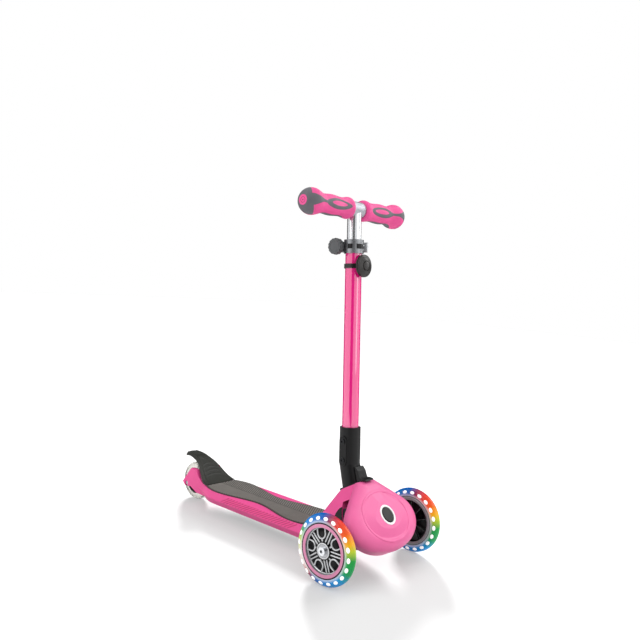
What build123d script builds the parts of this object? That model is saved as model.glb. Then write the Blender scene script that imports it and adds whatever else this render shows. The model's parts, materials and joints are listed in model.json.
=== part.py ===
"""Three-wheel lean-to-steer kick scooter with a folding, height-adjustable T-bar.

Millimetres. +Z up, the rider faces -Y, origin on the floor under the middle of the wheelprint.
"""
import os
from math import acos, atan2, cos, hypot, radians, sin, tan

from build123d import *

os.makedirs("parts", exist_ok=True)

# Stance and wheels
wheelbase = 480.0
front_track = 252.0
front_wheel_d = 121.0
rear_wheel_d = 80.0
tyre_width = 24.0
tyre_edge = 8.5
front_hub_d = 92.0
rear_hub_d = 54.0
hub_width = 20.0
hub_rim_wall = 5.0
hub_web = 5.0
rear_wall = 3.0
hub_boss_d = 30.0
light_ring_depth = 3.0
light_ring_width = 12.0
trim_ring_outer_d = 88.0
trim_ring_inner_d = 77.0
trim_ring_t = 2.0
spider_t = 2.4
spider_rib = 2.0
spider_arms = 5
spider_turn = 180.0
petal_d = 25.0
petal_inset = 6.0
spider_inset = 1.0
window_l = 15.5
window_w = 7.0
window_out = 4.0
bearing_d = 22.0
bearing_w = 7.0
bearing_span = 18.0
axle_d = 8.0
axle_head_d = 14.0
axle_head_t = 4.2
axle_hex_d = 7.0
axle_hex_depth = 2.5
axle_play = 1.0
magnet_d = 20.0
magnet_w = 6.0
spacer_d = 13.0

# Steering: the axis rises towards the front and crosses the front axle plane above the axle
steer_tilt = 30.0
steer_height = 86.0
steer_swing = 20.0
drum_d = 114.0
rim_n = 68.0
rim_w = 44.0
carrier_front = 3.0
carrier_t = 26.0
carrier_d = 110.0
carrier_boss_d = 52.0
carrier_flat_n = 40.0
carrier_arm_root_x = 42.0
carrier_arm_end_x = 108.0
carrier_arm_h = 36.0
carrier_arm_t = 19.0
carrier_end_d = 22.0
axle_seat = 26.0
web_angle = 25.0
bumper_angle = 6.0
bumper_length = 16.0
bumper_inner_r = 30.0
bumper_outer_r = 46.0
kingpin_d = 12.0
kingpin_rear = 48.0
kingpin_bush_d = 18.0
kingpin_nut_d = 18.0
kingpin_nut_t = 4.8

# Front cap and steering lock
housing_round = 18.0
cap_tilt = 39.2
cap_mid_a = 20.2
cap_mid_n = -6.0
cap_width = 184.0
cap_height = 109.0
cap_top = 75.5
cap_depth = 26.0
cap_rise = 14.3
cap_skirt = ((0.97, 1.0), (0.995, 0.4), (1.0, 0.0))
cap_dome = ((0.93, 0.42), (0.72, 0.77), (0.38, 1.0))
cap_wall = 3.5
cap_boss_d = 42.0
cap_bearing_depth = 8.5
lock_depth = 14.9
lock_button_d = 28.0
lock_button_t = 10.0
bezel_d = 37.0
bezel_t = 3.0
bezel_proud = 0.8
button_proud = 1.0
nut_room = 1.0
lock_spring_t = 1.6
stud_d = 4.0
stud_length = 24.0
stud_x = 22.0
stud_n = 54.0

# Deck
deck_top = 50.0
deck_bottom = 25.0
deck_waist_z = 37.0
deck_width = 115.0
deck_top_inset = 5.5
deck_bottom_inset = 7.5
deck_front = 92.0
deck_taper_ahead = 110.0
deck_rear_run = 5.0
deck_foot_rear = 106.0
mat_t = 2.0
mat_front = 127.0
mat_rear_gap = 1.0
mat_width = 99.0
mat_front_width = 90.0
mat_waist = 59.0
mat_waist_shift = 8.0
mat_front_run = 38.0
mat_rear_run = 42.0
mat_corner = 10.0
plate_t = 3.0
plate_corner = 10.0
plate_width = 88.0
plate_front = 124.0
plate_rear_ahead = 84.0
pocket_roof = 6.0
pocket_rib = 8.0
pocket_rows = 4
pocket_corner = 5.0
deck_screw_d = 3.0
deck_screw_head_d = 6.0
deck_screw_length = 14.0
housing_bolt_d = 6.0
housing_bolt_head_d = 11.0
housing_bolt_head_t = 4.0
housing_bolt_length = 34.0
housing_bolt_x = 30.0

# Rear fork arms and brake
arm_root_in = 10.0
arm_gap = 50.0
arm_t = 9.0
arm_top = 34.5
arm_start_run = 80.0
arm_shelf_run = 55.0
arm_low_run = 34.0
arm_crest_run = 29.0
arm_hook_run = 12.0
arm_tip_run = 13.0
arm_tip_rise = 0.5
arm_notch = 4.5
arm_below_axle = 7.0
well_gap = 5.0
rear_axle_recess = 1.5
rear_spacer_d = 12.0
fender_t = 5.0
fender_root_run = 10.0
fender_flat = 13.0
fender_tip_run = 30.0
fender_tip_rise = 19.5
fender_rise = ((-28.0, 3.0), (-13.0, 12.0), (6.0, 18.0))
fender_neck = 8.0
fender_root_width = 56.0
fender_tip_width = 29.0
fender_side_gap = 0.8
fender_clear = 1.3
brake_pin_d = 5.0
brake_pin_drop = 5.0
brake_pin_ahead = 62.0
brake_lug_w = 6.0
brake_lug_x = 9.0
brake_lug_d = 10.0
brake_pad_width = 18.0
brake_pad_gap = 3.2
brake_pad_t = 4.5
brake_pad_from = 108.0
brake_pad_to = 131.4
brake_spring_d = 9.0
brake_spring_w = 8.0

# Fold joint, bracket and T-bar
pin_a = -28.0
pin_n = 56.0
fold_pin_d = 8.0
fold_pin_length = 52.0
knuckle_r = 11.8
foot_width = 34.0
foot_floor_n = 45.0
foot_front_a = -1.0
foot_back_r = 12.4
floor_run = 90.0
loft_top_h = 6.0
bracket_w = 40.0
elbow_a = -14.4
elbow_n = 103.0
tube_lean = 4.5
tube_d = 30.0
tube_wall = 1.5
tube_foot_h = 2.0
tube_top_h = 410.0
socket_d = 38.0
socket_top_h = 72.0
bolt_low_h = 13.0
bolt_pitch = 34.0
bolt_d = 6.0
bolt_head_d = 10.0
pad_w = 15.0
pad_t = 2.5
bolt_proud = 1.6
bolt_hex_d = 5.0
fold_angle = 80.0
latch_w = 22.0
latch_t = 9.0
latch_length = 27.0
latch_tab = 11.0
latch_tab_t = 4.0
latch_nose = 2.5
latch_scoop = 9.0
latch_play = 0.6

# Clamp, bell and handlebar
inner_tube_d = 26.0
inner_tube_bottom_h = 200.0
bush_length = 26.0
bush_flange_t = 2.0
clamp_drop = 22.0
clamp_height = 25.0
clamp_wall = 3.0
clamp_split = 4.0
clamp_band = 9.0
clamp_band_depth = 1.0
skewer_back = 22.0
skewer_d = 5.0
lug_w = 10.0
lug_height = 18.0
lug_depth = 8.0
knob_d = 29.0
knob_t = 11.0
knob_neck_d = 12.0
knob_scallops = 14
knob_scallop_d = 4.0
lever_h = 18.0
lever_t = 4.5
lever_reach = 36.0
barrel_d = 8.0
lever_eye_d = 15.0
lever_slot_w = 3.0
knob_face = 1.0
bell_drop = 23.0
strap_h = 8.0
strap_t = 2.0
bell_d = 41.0
bell_base_t = 6.0
bell_dome_t = 6.5
bell_spindle_d = 6.0
bell_stem_d = 14.0
bell_stem = 1.0
bell_rim = 2.5
bell_crown_t = 2.0
bar_rise = 58.5
bar_d = 22.0
bar_wall = 1.5
bar_sleeve_d = 29.0
bar_sleeve_w = 33.0
bar_inset = 12.0
grip_reach = 140.0
grip_shaft_d = 36.5
grip_flange_d = 38.5
grip_bulb_d = 47.0
grip_bulb_run = 21.0
grip_flange_run = 4.0
grip_shaft_run = 16.0
grip_waist_run = 44.0
grip_neck_run = 23.0
grip_end_run = 5.0
grip_lip = 3.0
grip_belly = 0.3
grip_notch = 0.6
grip_end_drop = 7.0
plug_d = 18.0
plug_t = 3.0

# Clearances
running = 0.05
gap = 0.4
swing_gap = 0.5
knob_gap = 0.8
lug_room = 1.5

# Derived places
front_r = front_wheel_d / 2
rear_r = rear_wheel_d / 2
front_axle_y = -(wheelbase + rear_r - front_r) / 2
rear_axle_y = front_axle_y + wheelbase
tilt = radians(steer_tilt)
steer_dir = Vector(0, -cos(tilt), sin(tilt))
neck_dir = Vector(0, sin(tilt), cos(tilt))
steer_centre = Vector(0, front_axle_y, steer_height)
carrier_back = carrier_front - carrier_t
cap_back = carrier_front + swing_gap
saddle_face = carrier_back - swing_gap
lean = radians(tube_lean)
tube_dir = Vector(0, sin(lean), cos(lean))
tube_back = Vector(0, cos(lean), -sin(lean))
arm_in = arm_gap / 2
arm_out = arm_in + arm_t
arm_root_y = rear_axle_y - rear_r + arm_root_in
deck_front_y = front_axle_y + deck_front
deck_rear_y = arm_root_y + deck_rear_run
deck_taper_y = rear_axle_y - deck_taper_ahead
brake_pin_y = rear_axle_y - brake_pin_ahead
brake_pin_z = deck_top - brake_pin_drop
plate_length = wheelbase - plate_front - plate_rear_ahead
plate_y = front_axle_y + plate_front + plate_length / 2
pocket_w = (plate_width - 3 * pocket_rib) / 2
pocket_l = (plate_length - (pocket_rows + 1) * pocket_rib) / pocket_rows
bolt_y = (deck_front_y + front_axle_y + deck_foot_rear) / 2
petal_turn = spider_turn + 180 / spider_arms
clamp_h = tube_top_h - clamp_drop
bell_h = clamp_h - bell_drop
bar_h = tube_top_h + bar_rise
bar_length = 2 * (grip_reach - bar_inset)
grip_bulb_x = grip_reach - grip_bulb_run

# Sketch planes: steer has X across and n up the neck, side has a along the axis and n up the neck
steer = Plane(origin=steer_centre, x_dir=(1, 0, 0), z_dir=steer_dir)
side = Plane(origin=steer_centre, x_dir=steer_dir, z_dir=(-1, 0, 0))
base = (Align.CENTER, Align.CENTER, Align.MIN)


def place(a, n):
    """A point given along the steering axis and up the neck."""
    return steer_centre + steer_dir * a + neck_dir * n


def neck(n):
    """A plane square to the neck, with X across and -a as its second direction."""
    return Plane(origin=steer_centre + neck_dir * n, x_dir=(1, 0, 0), z_dir=neck_dir)


elbow = place(elbow_a, elbow_n)
cap_lean = radians(cap_tilt)
cap_normal = Vector(0, -cos(cap_lean), sin(cap_lean))
cap_plane = Plane(origin=place(cap_mid_a, cap_mid_n), x_dir=(1, 0, 0), z_dir=cap_normal)
cap_face = cap_mid_a + (cap_rise - cap_plane.to_local_coords(place(cap_mid_a, 0)).Z) / cos(cap_lean - tilt)
lock = Plane(origin=place(cap_face, 0), x_dir=(1, 0, 0), z_dir=cap_normal)
lock_line = Axis(place(cap_face, 0), cap_normal)


def along_tube(h):
    """A plane square to the T-bar tube, h up from the elbow, X across and the rear as second direction."""
    return Plane(origin=elbow + tube_dir * h, x_dir=(1, 0, 0), z_dir=tube_dir)


def across(point, sign=1):
    """A plane facing sideways through a point, with Y and Z as its directions when sign is 1."""
    return Plane(origin=point, x_dir=(0, 1, 0), z_dir=(sign, 0, 0))


def front_axle(x):
    """The point of the front axle x across from the middle."""
    return Vector(x, front_axle_y, front_r)


def rear_axle_at(x):
    """The point of the rear axle x across from the middle."""
    return Vector(x, rear_axle_y, rear_r)


def ring(point, sign, outer_r, inner_r=0.0):
    """A flat ring or disc round a point, facing out on the side that sign names."""
    with BuildSketch(across(point, sign)) as outline:
        Circle(outer_r)
        if inner_r > 0:
            Circle(inner_r, mode=Mode.SUBTRACT)
    return outline.sketch


def radial(y, z):
    """A plane holding the X axis through (y, z), for turned profiles: x along the axle, y outwards."""
    return Plane(origin=(0, y, z), x_dir=(1, 0, 0), z_dir=(0, -1, 0))


def save(block, name):
    """Label a finished piece and write it."""
    block.part.label = name
    export_step(block.part, f"parts/{name}.step")


def stud_circles(a, radius):
    """Circles at the two studs that hold the cap, at a along the steering axis."""
    with BuildSketch(steer.offset(a)) as circles:
        with Locations((0, stud_n)):
            with GridLocations(2 * stud_x, 1, 2, 1):
                Circle(radius)
    return circles.sketch


def cross_bolt_circles():
    """Circles at the two bolts across the bracket's socket."""
    low = along_tube(bolt_low_h).origin
    with BuildSketch(Plane(low, x_dir=tube_dir, z_dir=(-1, 0, 0))) as circles:
        with Locations((0, 0), (bolt_pitch, 0)):
            Circle(bolt_d / 2)
    return circles.sketch


def pear(plane, inset=0.0):
    """Front outline of the housing: a round drum drawn up to the narrow neck."""
    radius = drum_d / 2 - inset
    top_x = rim_w / 2 - inset
    reach = hypot(top_x, rim_n)
    angle = atan2(rim_n, top_x) - acos(radius / reach)
    touch_x = radius * cos(angle)
    touch_n = radius * sin(angle)
    with BuildSketch(plane) as outline:
        with BuildLine():
            Polyline((-touch_x, touch_n), (-top_x, rim_n), (top_x, rim_n), (touch_x, touch_n))
            ThreePointArc((touch_x, touch_n), (0, -radius), (-touch_x, touch_n))
        make_face()
    return outline.sketch


def egg(size, height):
    """Wide outline of the front cap at a height over its plane, drawn in towards its middle."""
    half_x = cap_width / 2 * size
    half_n = cap_height / 2 * size
    top_x = rim_w / 2 * size
    top_n = cap_top * size
    reach = hypot(top_x / half_x, top_n / half_n)
    angle = atan2(top_n / half_n, top_x / half_x) - acos(1 / reach)
    touch_x = half_x * cos(angle)
    touch_n = half_n * sin(angle)
    with BuildSketch(cap_plane.offset(height)) as outline:
        Ellipse(half_x, half_n)
        Polygon((touch_x, touch_n), (top_x, top_n), (-top_x, top_n), (-touch_x, touch_n), align=None)
    return outline.sketch


def cap_shape(inset):
    """The front cap's rounded form, or the hollow in it when inset by the wall."""
    draw_in = 2 * inset / cap_height
    sections = [egg(size - draw_in, -share * cap_depth - inset) for size, share in cap_skirt]
    sections += [egg(size - draw_in, share * cap_rise - inset) for size, share in cap_dome]
    with BuildPart() as form:
        loft(sections)
    return form.part


def deck_plan(z, inset):
    """Deck outline at a height, drawn in by inset, narrowing into the fork arms."""
    half = deck_width / 2 - inset
    rear = arm_out - inset
    with BuildSketch(Plane.XY.offset(z)) as outline:
        with BuildLine() as edge:
            Line((0, deck_front_y), (half, deck_front_y))
            Line((half, deck_front_y), (half, deck_taper_y))
            Spline((half, deck_taper_y), (rear, arm_root_y), tangents=((0, 1), (0, 1)))
            Line((rear, arm_root_y), (rear, deck_rear_y))
            Line((rear, deck_rear_y), (0, deck_rear_y))
            mirror(edge.line, about=Plane.YZ)
        make_face()
    return outline.sketch


def screw_circles(radius):
    """Circles at the screws that hold the underside plate."""
    with BuildSketch(Plane.XY.offset(deck_bottom)) as circles:
        with Locations((0, plate_y)):
            with GridLocations(plate_width - pocket_rib, pocket_l + pocket_rib, 2, pocket_rows - 1):
                Circle(radius)
    return circles.sketch


# Deck body: bevelled platform, fork arms, brake hinge slots, underside pockets
shelf = deck_top - rear_r
underside = deck_bottom - rear_r
with BuildPart() as deck_body:
    loft([deck_plan(deck_waist_z, 0).face(), deck_plan(deck_top, deck_top_inset).face()], ruled=True)
    loft([deck_plan(deck_bottom, deck_bottom_inset).face(), deck_plan(deck_waist_z, 0).face()], ruled=True)
    for sign in (1, -1):
        with BuildSketch(across(rear_axle_at(sign * arm_in))):
            with BuildLine():
                Polyline(
                    (-arm_start_run, shelf),
                    (-arm_start_run, underside),
                    (-arm_low_run, underside + 1),
                    (-arm_tip_run, -arm_notch),
                    (-axle_d / 2 - 1, -arm_below_axle),
                    (axle_d / 2 + 1, -arm_below_axle),
                    (arm_tip_run, arm_tip_rise),
                    (-arm_hook_run, arm_top),
                    (-arm_crest_run, arm_top),
                )
                Spline((-arm_crest_run, arm_top), (-arm_shelf_run, shelf), tangents=((-0.6, -1), (-1, -0.4)))
                Line((-arm_shelf_run, shelf), (-arm_start_run, shelf))
            make_face()
        extrude(amount=sign * arm_t)
    # wheel well between the arms
    with BuildSketch(Plane.XY):
        with Locations((0, rear_axle_y - rear_r - well_gap)):
            Rectangle(arm_gap, 2 * wheelbase, align=(Align.CENTER, Align.MIN))
    extrude(amount=2 * deck_top, mode=Mode.SUBTRACT)
    # open-ended axle slots
    with BuildSketch(across(rear_axle_at(0))):
        Circle(axle_d / 2)
        Rectangle(axle_d, rear_r, align=(Align.CENTER, Align.MAX))
    extrude(amount=deck_width, both=True, mode=Mode.SUBTRACT)
    # recess for the underside plate and the pockets above it
    with BuildSketch(Plane.XY.offset(deck_bottom)):
        with Locations((0, plate_y)):
            RectangleRounded(plate_width, plate_length, plate_corner)
    extrude(amount=plate_t, mode=Mode.SUBTRACT)
    with BuildSketch(Plane.XY.offset(deck_bottom + plate_t)):
        with Locations((0, plate_y)):
            with GridLocations(pocket_w + pocket_rib, pocket_l + pocket_rib, 2, pocket_rows):
                RectangleRounded(pocket_w, pocket_l, pocket_corner)
    extrude(amount=deck_top - pocket_roof - deck_bottom - plate_t, mode=Mode.SUBTRACT)
    # screw holes for the plate
    extrude(screw_circles(deck_screw_d / 2), amount=deck_screw_length, mode=Mode.SUBTRACT)
    # bolt holes for the front housing
    with Locations((0, bolt_y, deck_bottom)):
        with GridLocations(2 * housing_bolt_x, 1, 2, 1):
            Cylinder(housing_bolt_d / 2, deck_top, align=base, mode=Mode.SUBTRACT)
            Cylinder(housing_bolt_head_d / 2, housing_bolt_head_t, align=base, mode=Mode.SUBTRACT)
    # brake hinge: two lug slots, the spring slot between them and the pin hole
    lug_slot = brake_lug_d / 2 + lug_room
    with BuildSketch(across((0, brake_pin_y, brake_pin_z))):
        Circle(lug_slot)
        Rectangle(2 * lug_slot, deck_top, align=(Align.CENTER, Align.MIN))
    extrude(amount=brake_lug_x + brake_lug_w / 2 + gap, both=True, mode=Mode.SUBTRACT)
    with BuildSketch(across((0, brake_pin_y, brake_pin_z))):
        Circle(brake_pin_d / 2)
    extrude(amount=fender_root_width / 2, both=True, mode=Mode.SUBTRACT)
save(deck_body, "deck_body")

with BuildPart() as deck_plate:
    with BuildSketch(Plane.XY.offset(deck_bottom)):
        with Locations((0, plate_y)):
            RectangleRounded(plate_width, plate_length, plate_corner)
    extrude(amount=plate_t)
    extrude(screw_circles(deck_screw_head_d / 2), amount=plate_t, mode=Mode.SUBTRACT)
save(deck_plate, "deck_plate")

with BuildPart() as deck_screws:
    extrude(screw_circles(deck_screw_d / 2), amount=deck_screw_length)
    extrude(screw_circles(deck_screw_head_d / 2), amount=plate_t)
save(deck_screws, "deck_screws")

# Deck mat: hourglass of textured rubber lying on the platform
with BuildPart() as deck_mat:
    mat_half = mat_width / 2
    mat_y0 = front_axle_y + mat_front
    mat_y1 = brake_pin_y - fender_root_run - mat_rear_gap
    mat_mid = (mat_y0 + mat_y1) / 2 - mat_waist_shift
    with BuildSketch(Plane.XY.offset(deck_top)):
        with BuildLine() as mat_edge:
            Line((0, mat_y0), (mat_front_width / 2, mat_y0))
            Spline(
                (mat_front_width / 2, mat_y0),
                (mat_half, mat_y0 + mat_front_run),
                (mat_waist / 2, mat_mid),
                (mat_half, mat_y1 - mat_rear_run),
                (mat_half - mat_corner, mat_y1),
            )
            Line((mat_half - mat_corner, mat_y1), (0, mat_y1))
            mirror(mat_edge.line, about=Plane.YZ)
        make_face()
    extrude(amount=mat_t)
save(deck_mat, "deck_mat")

# Front housing: saddle on the deck, web over the carrier and the neck the T-bar folds in
foot_slot = foot_width / 2 + swing_gap / 2
fold = radians(fold_angle)
knuckle_a = pin_a - knuckle_r * cos(fold)
knuckle_n = pin_n - knuckle_r * sin(fold)
floor_r = foot_back_r + gap
floor_a = pin_a - floor_r * cos(fold)
floor_n = pin_n - floor_r * sin(fold)
rim_back_a = pin_a - foot_back_r + gap
with BuildPart() as front_housing:
    rim_front = place(cap_back, rim_n)
    rim_rear = place(rim_back_a, rim_n)
    saddle_low = place(saddle_face, -carrier_flat_n)
    bridge_low = place(cap_back, -carrier_flat_n)
    saddle_rear = Vector(0, front_axle_y + deck_foot_rear, deck_top)
    with BuildSketch(Plane.YZ):
        Polygon(
            (rim_front.Y, rim_front.Z),
            (rim_rear.Y, rim_rear.Z),
            (saddle_rear.Y, saddle_rear.Z),
            (deck_front_y, deck_top),
            (deck_front_y, deck_bottom),
            (saddle_low.Y, saddle_low.Z),
            (bridge_low.Y, bridge_low.Z),
            align=None,
        )
    extrude(amount=drum_d, both=True)
    extrude(pear(steer.offset(-wheelbase)), amount=wheelbase + cap_back, mode=Mode.INTERSECT)
    slope = Plane(origin=rim_rear, x_dir=(1, 0, 0), z_dir=Vector(1, 0, 0).cross(rim_rear - saddle_rear))
    slope_edges = [e for e in front_housing.edges() if abs(slope.to_local_coords(e.center()).Z) < 0.1]
    fillet([e for e in slope_edges if abs(e.center().X) > rim_w / 4], radius=housing_round)
    # room for the swinging carrier, leaving the web under the neck
    wedge = tan(radians(web_angle)) * drum_d
    with BuildSketch(steer.offset(saddle_face)):
        Circle(drum_d / 2 + 2)
        Polygon((0, 0), (wedge, drum_d), (-wedge, drum_d), align=None, mode=Mode.SUBTRACT)
        Circle(carrier_boss_d / 2 + 1)
    extrude(amount=cap_back - saddle_face, mode=Mode.SUBTRACT)
    # socket for the bracket's foot
    with BuildSketch(side):
        Polygon(
            (pin_a - foot_back_r, foot_floor_n - gap),
            (foot_front_a + gap, foot_floor_n - gap),
            (foot_front_a + gap, rim_n + 1),
            (pin_a - foot_back_r, rim_n + 1),
            align=None,
        )
    extrude(amount=foot_slot, both=True, mode=Mode.SUBTRACT)
    # channel that the bracket lies in when folded, round the hinge knuckle
    with BuildSketch(side):
        with BuildLine():
            ThreePointArc((pin_a, pin_n + knuckle_r), (pin_a - knuckle_r, pin_n), (knuckle_a, knuckle_n))
            Polyline(
                (knuckle_a, knuckle_n),
                (floor_a, floor_n),
                (floor_a - floor_run * sin(fold), floor_n + floor_run * cos(fold)),
                (floor_a - floor_run, rim_n + floor_run),
                (pin_a, rim_n + floor_run),
                (pin_a, pin_n + knuckle_r),
            )
        make_face()
    extrude(amount=bracket_w / 2 + 1, both=True, mode=Mode.SUBTRACT)
    # pin and bolt holes
    with BuildSketch(across(place(pin_a, pin_n))):
        Circle(fold_pin_d / 2)
    extrude(amount=fold_pin_length / 2, both=True, mode=Mode.SUBTRACT)
    with BuildSketch(steer.offset(-kingpin_rear)):
        Circle(kingpin_d / 2)
    extrude(amount=kingpin_rear + saddle_face, mode=Mode.SUBTRACT)
    extrude(stud_circles(cap_back, stud_d / 2), amount=-stud_length / 2, mode=Mode.SUBTRACT)
    with Locations((0, bolt_y, deck_bottom)):
        with GridLocations(2 * housing_bolt_x, 1, 2, 1):
            Cylinder(housing_bolt_d / 2, housing_bolt_length, align=base, mode=Mode.SUBTRACT)
save(front_housing, "front_housing")

with BuildPart() as housing_bolts:
    with Locations((0, bolt_y, deck_bottom)):
        with GridLocations(2 * housing_bolt_x, 1, 2, 1):
            Cylinder(housing_bolt_d / 2, housing_bolt_length, align=base)
            Cylinder(housing_bolt_head_d / 2, housing_bolt_head_t, align=base)
save(housing_bolts, "housing_bolts")

with BuildPart() as fold_pin:
    with BuildSketch(across(place(pin_a, pin_n))):
        Circle(fold_pin_d / 2)
    extrude(amount=fold_pin_length / 2, both=True)
save(fold_pin, "fold_pin")

with BuildPart() as kingpin:
    kingpin_front = cap_back + cap_bearing_depth + kingpin_nut_t
    with BuildSketch(steer.offset(-kingpin_rear)):
        Circle(kingpin_d / 2)
    extrude(amount=kingpin_rear + kingpin_front)
save(kingpin, "kingpin")

with BuildPart() as kingpin_nut:
    with BuildSketch(steer.offset(cap_back + cap_bearing_depth)):
        RegularPolygon(kingpin_nut_d / 2, 6)
        Circle(kingpin_d / 2, mode=Mode.SUBTRACT)
    extrude(amount=kingpin_nut_t)
save(kingpin_nut, "kingpin_nut")

with BuildPart() as steering_bumpers:
    for sign in (1, -1):
        near = radians(web_angle)
        far = radians(web_angle + bumper_angle)
        with BuildSketch(steer.offset(-bumper_length)):
            Polygon(
                (sign * bumper_inner_r * sin(near), bumper_inner_r * cos(near)),
                (sign * bumper_outer_r * sin(near), bumper_outer_r * cos(near)),
                (sign * bumper_outer_r * sin(far), bumper_outer_r * cos(far)),
                (sign * bumper_inner_r * sin(far), bumper_inner_r * cos(far)),
                align=None,
            )
        extrude(amount=bumper_length)
save(steering_bumpers, "steering_bumpers")

# Front cap: wide domed shell with the kingpin seat and the lock recess
with BuildPart() as front_cap:
    add(cap_shape(0))
    with BuildSketch(steer.offset(cap_back)):
        Rectangle(2 * cap_width, 2 * cap_width)
    extrude(amount=cap_width, mode=Mode.INTERSECT)
    cap_form = front_cap.part
    add(cap_shape(cap_wall), mode=Mode.SUBTRACT)
    with BuildSketch(steer.offset(cap_back)):
        Circle(cap_boss_d / 2)
    extrude(amount=cap_width)
    extrude(stud_circles(cap_back, stud_d), amount=cap_width)
    add(cap_form, mode=Mode.INTERSECT)
    with BuildSketch(steer.offset(cap_back)):
        Circle(kingpin_d / 2)
    extrude(amount=cap_bearing_depth, mode=Mode.SUBTRACT)
    extrude(stud_circles(cap_back, stud_d / 2), amount=stud_length / 2, mode=Mode.SUBTRACT)
    with BuildSketch(steer.offset(cap_back + cap_bearing_depth)):
        Circle(kingpin_nut_d / 2 + nut_room)
    extrude(amount=kingpin_nut_t + nut_room, mode=Mode.SUBTRACT)
    with BuildSketch(lock.offset(-lock_depth)):
        Circle(lock_button_d / 2 + gap)
    extrude(amount=cap_width, mode=Mode.SUBTRACT)
    with BuildSketch(lock.offset(-bezel_t)):
        Circle(bezel_d / 2)
    extrude(amount=cap_width, mode=Mode.SUBTRACT)
save(front_cap, "front_cap")

with BuildPart() as cap_studs:
    extrude(stud_circles(cap_back - stud_length / 2, stud_d / 2), amount=stud_length)
save(cap_studs, "cap_studs")

with BuildPart() as lock_bezel:
    with BuildSketch(lock.offset(-bezel_t)):
        Circle(bezel_d / 2)
        Circle(lock_button_d / 2 + gap, mode=Mode.SUBTRACT)
    extrude(amount=bezel_t + bezel_proud)
    fillet(lock_bezel.faces().sort_by(lock_line)[-1].edges(), radius=bezel_proud)
save(lock_bezel, "lock_bezel")

with BuildPart() as lock_button:
    with BuildSketch(lock.offset(button_proud - lock_button_t)):
        Circle(lock_button_d / 2)
    extrude(amount=lock_button_t)
    fillet(lock_button.faces().sort_by(lock_line)[-1].edges(), radius=2 * button_proud)
save(lock_button, "lock_button")

with BuildPart() as lock_spring:
    with BuildSketch(lock.offset(-lock_depth)):
        Circle(lock_button_d / 2)
        Circle(kingpin_nut_d / 2 + nut_room, mode=Mode.SUBTRACT)
    extrude(amount=lock_spring_t)
save(lock_spring, "lock_spring")

bolt_root = carrier_arm_end_x - axle_seat

# Axle carrier: cut-away disc that swings in the housing, with an arm out to each front wheel
ear_angle = radians(90 - web_angle - bumper_angle - steer_swing - 2)
with BuildPart() as axle_carrier:
    with BuildSketch(steer.offset(carrier_back)):
        Circle(carrier_d / 2)
        Polygon(
            (0, 0),
            (carrier_d * cos(ear_angle), carrier_d * sin(ear_angle)),
            (0, 2 * carrier_d),
            (-carrier_d * cos(ear_angle), carrier_d * sin(ear_angle)),
            align=None,
            mode=Mode.SUBTRACT,
        )
        Circle(carrier_boss_d / 2)
        with Locations((0, -carrier_flat_n)):
            Rectangle(2 * carrier_d, carrier_d, align=(Align.CENTER, Align.MAX), mode=Mode.SUBTRACT)
    extrude(amount=carrier_t)
    for sign in (1, -1):
        with BuildSketch(Plane(front_axle(sign * carrier_arm_root_x), x_dir=steer_dir, z_dir=(sign, 0, 0))):
            Ellipse(carrier_arm_t / 2, carrier_arm_h / 2)
        with BuildSketch(Plane(front_axle(sign * carrier_arm_end_x), x_dir=steer_dir, z_dir=(sign, 0, 0))):
            Ellipse(carrier_end_d / 2, carrier_end_d / 2 + 0.5)
        loft()
    with BuildSketch(steer.offset(carrier_back)):
        Circle(kingpin_bush_d / 2)
    extrude(amount=carrier_t, mode=Mode.SUBTRACT)
    for sign in (1, -1):
        bolt_hole = ring(front_axle(sign * bolt_root), sign, axle_d / 2)
        extrude(bolt_hole, amount=2 * axle_seat, mode=Mode.SUBTRACT)
save(axle_carrier, "axle_carrier")

with BuildPart() as steering_bushes:
    bush_run = carrier_t / 2 - 1
    for start in (carrier_back, carrier_front - bush_run):
        with BuildSketch(steer.offset(start)):
            Circle(kingpin_bush_d / 2)
            Circle(kingpin_d / 2 + running, mode=Mode.SUBTRACT)
        extrude(amount=bush_run)
save(steering_bushes, "steering_bushes")

# Front wheels and what they run on
wheel_x = front_track / 2
bearing_in = wheel_x - bearing_span / 2
bearing_out = wheel_x + bearing_span / 2
hub_in = wheel_x - hub_width / 2
hub_out = wheel_x + hub_width / 2
trim_seat = hub_out - trim_ring_t
hub_r = front_hub_d / 2
web_in = wheel_x - hub_web / 2
web_out = wheel_x + hub_web / 2
spider_r = trim_ring_inner_d / 2 - spider_inset
window_r = (hub_boss_d + trim_ring_inner_d) / 4 + window_out

with BuildPart() as axle_bolts:
    for sign in (1, -1):
        extrude(ring(front_axle(sign * bolt_root), sign, axle_d / 2), amount=bearing_out - bolt_root)
        extrude(ring(front_axle(sign * bearing_out), sign, axle_head_d / 2), amount=axle_head_t)
        with BuildSketch(across(front_axle(sign * (bearing_out + axle_head_t)), sign)):
            RegularPolygon(axle_hex_d / 2, 6)
        extrude(amount=-axle_hex_depth, mode=Mode.SUBTRACT)
save(axle_bolts, "axle_bolts")

with BuildPart() as wheel_spacers:
    for sign in (1, -1):
        spacer_ring = ring(front_axle(sign * carrier_arm_end_x), sign, spacer_d / 2, axle_d / 2)
        extrude(spacer_ring, amount=bearing_in - carrier_arm_end_x)
save(wheel_spacers, "wheel_spacers")

with BuildPart() as axle_magnets:
    for sign in (1, -1):
        extrude(ring(front_axle(sign * carrier_arm_end_x), sign, magnet_d / 2, spacer_d / 2), amount=magnet_w)
save(axle_magnets, "axle_magnets")

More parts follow.
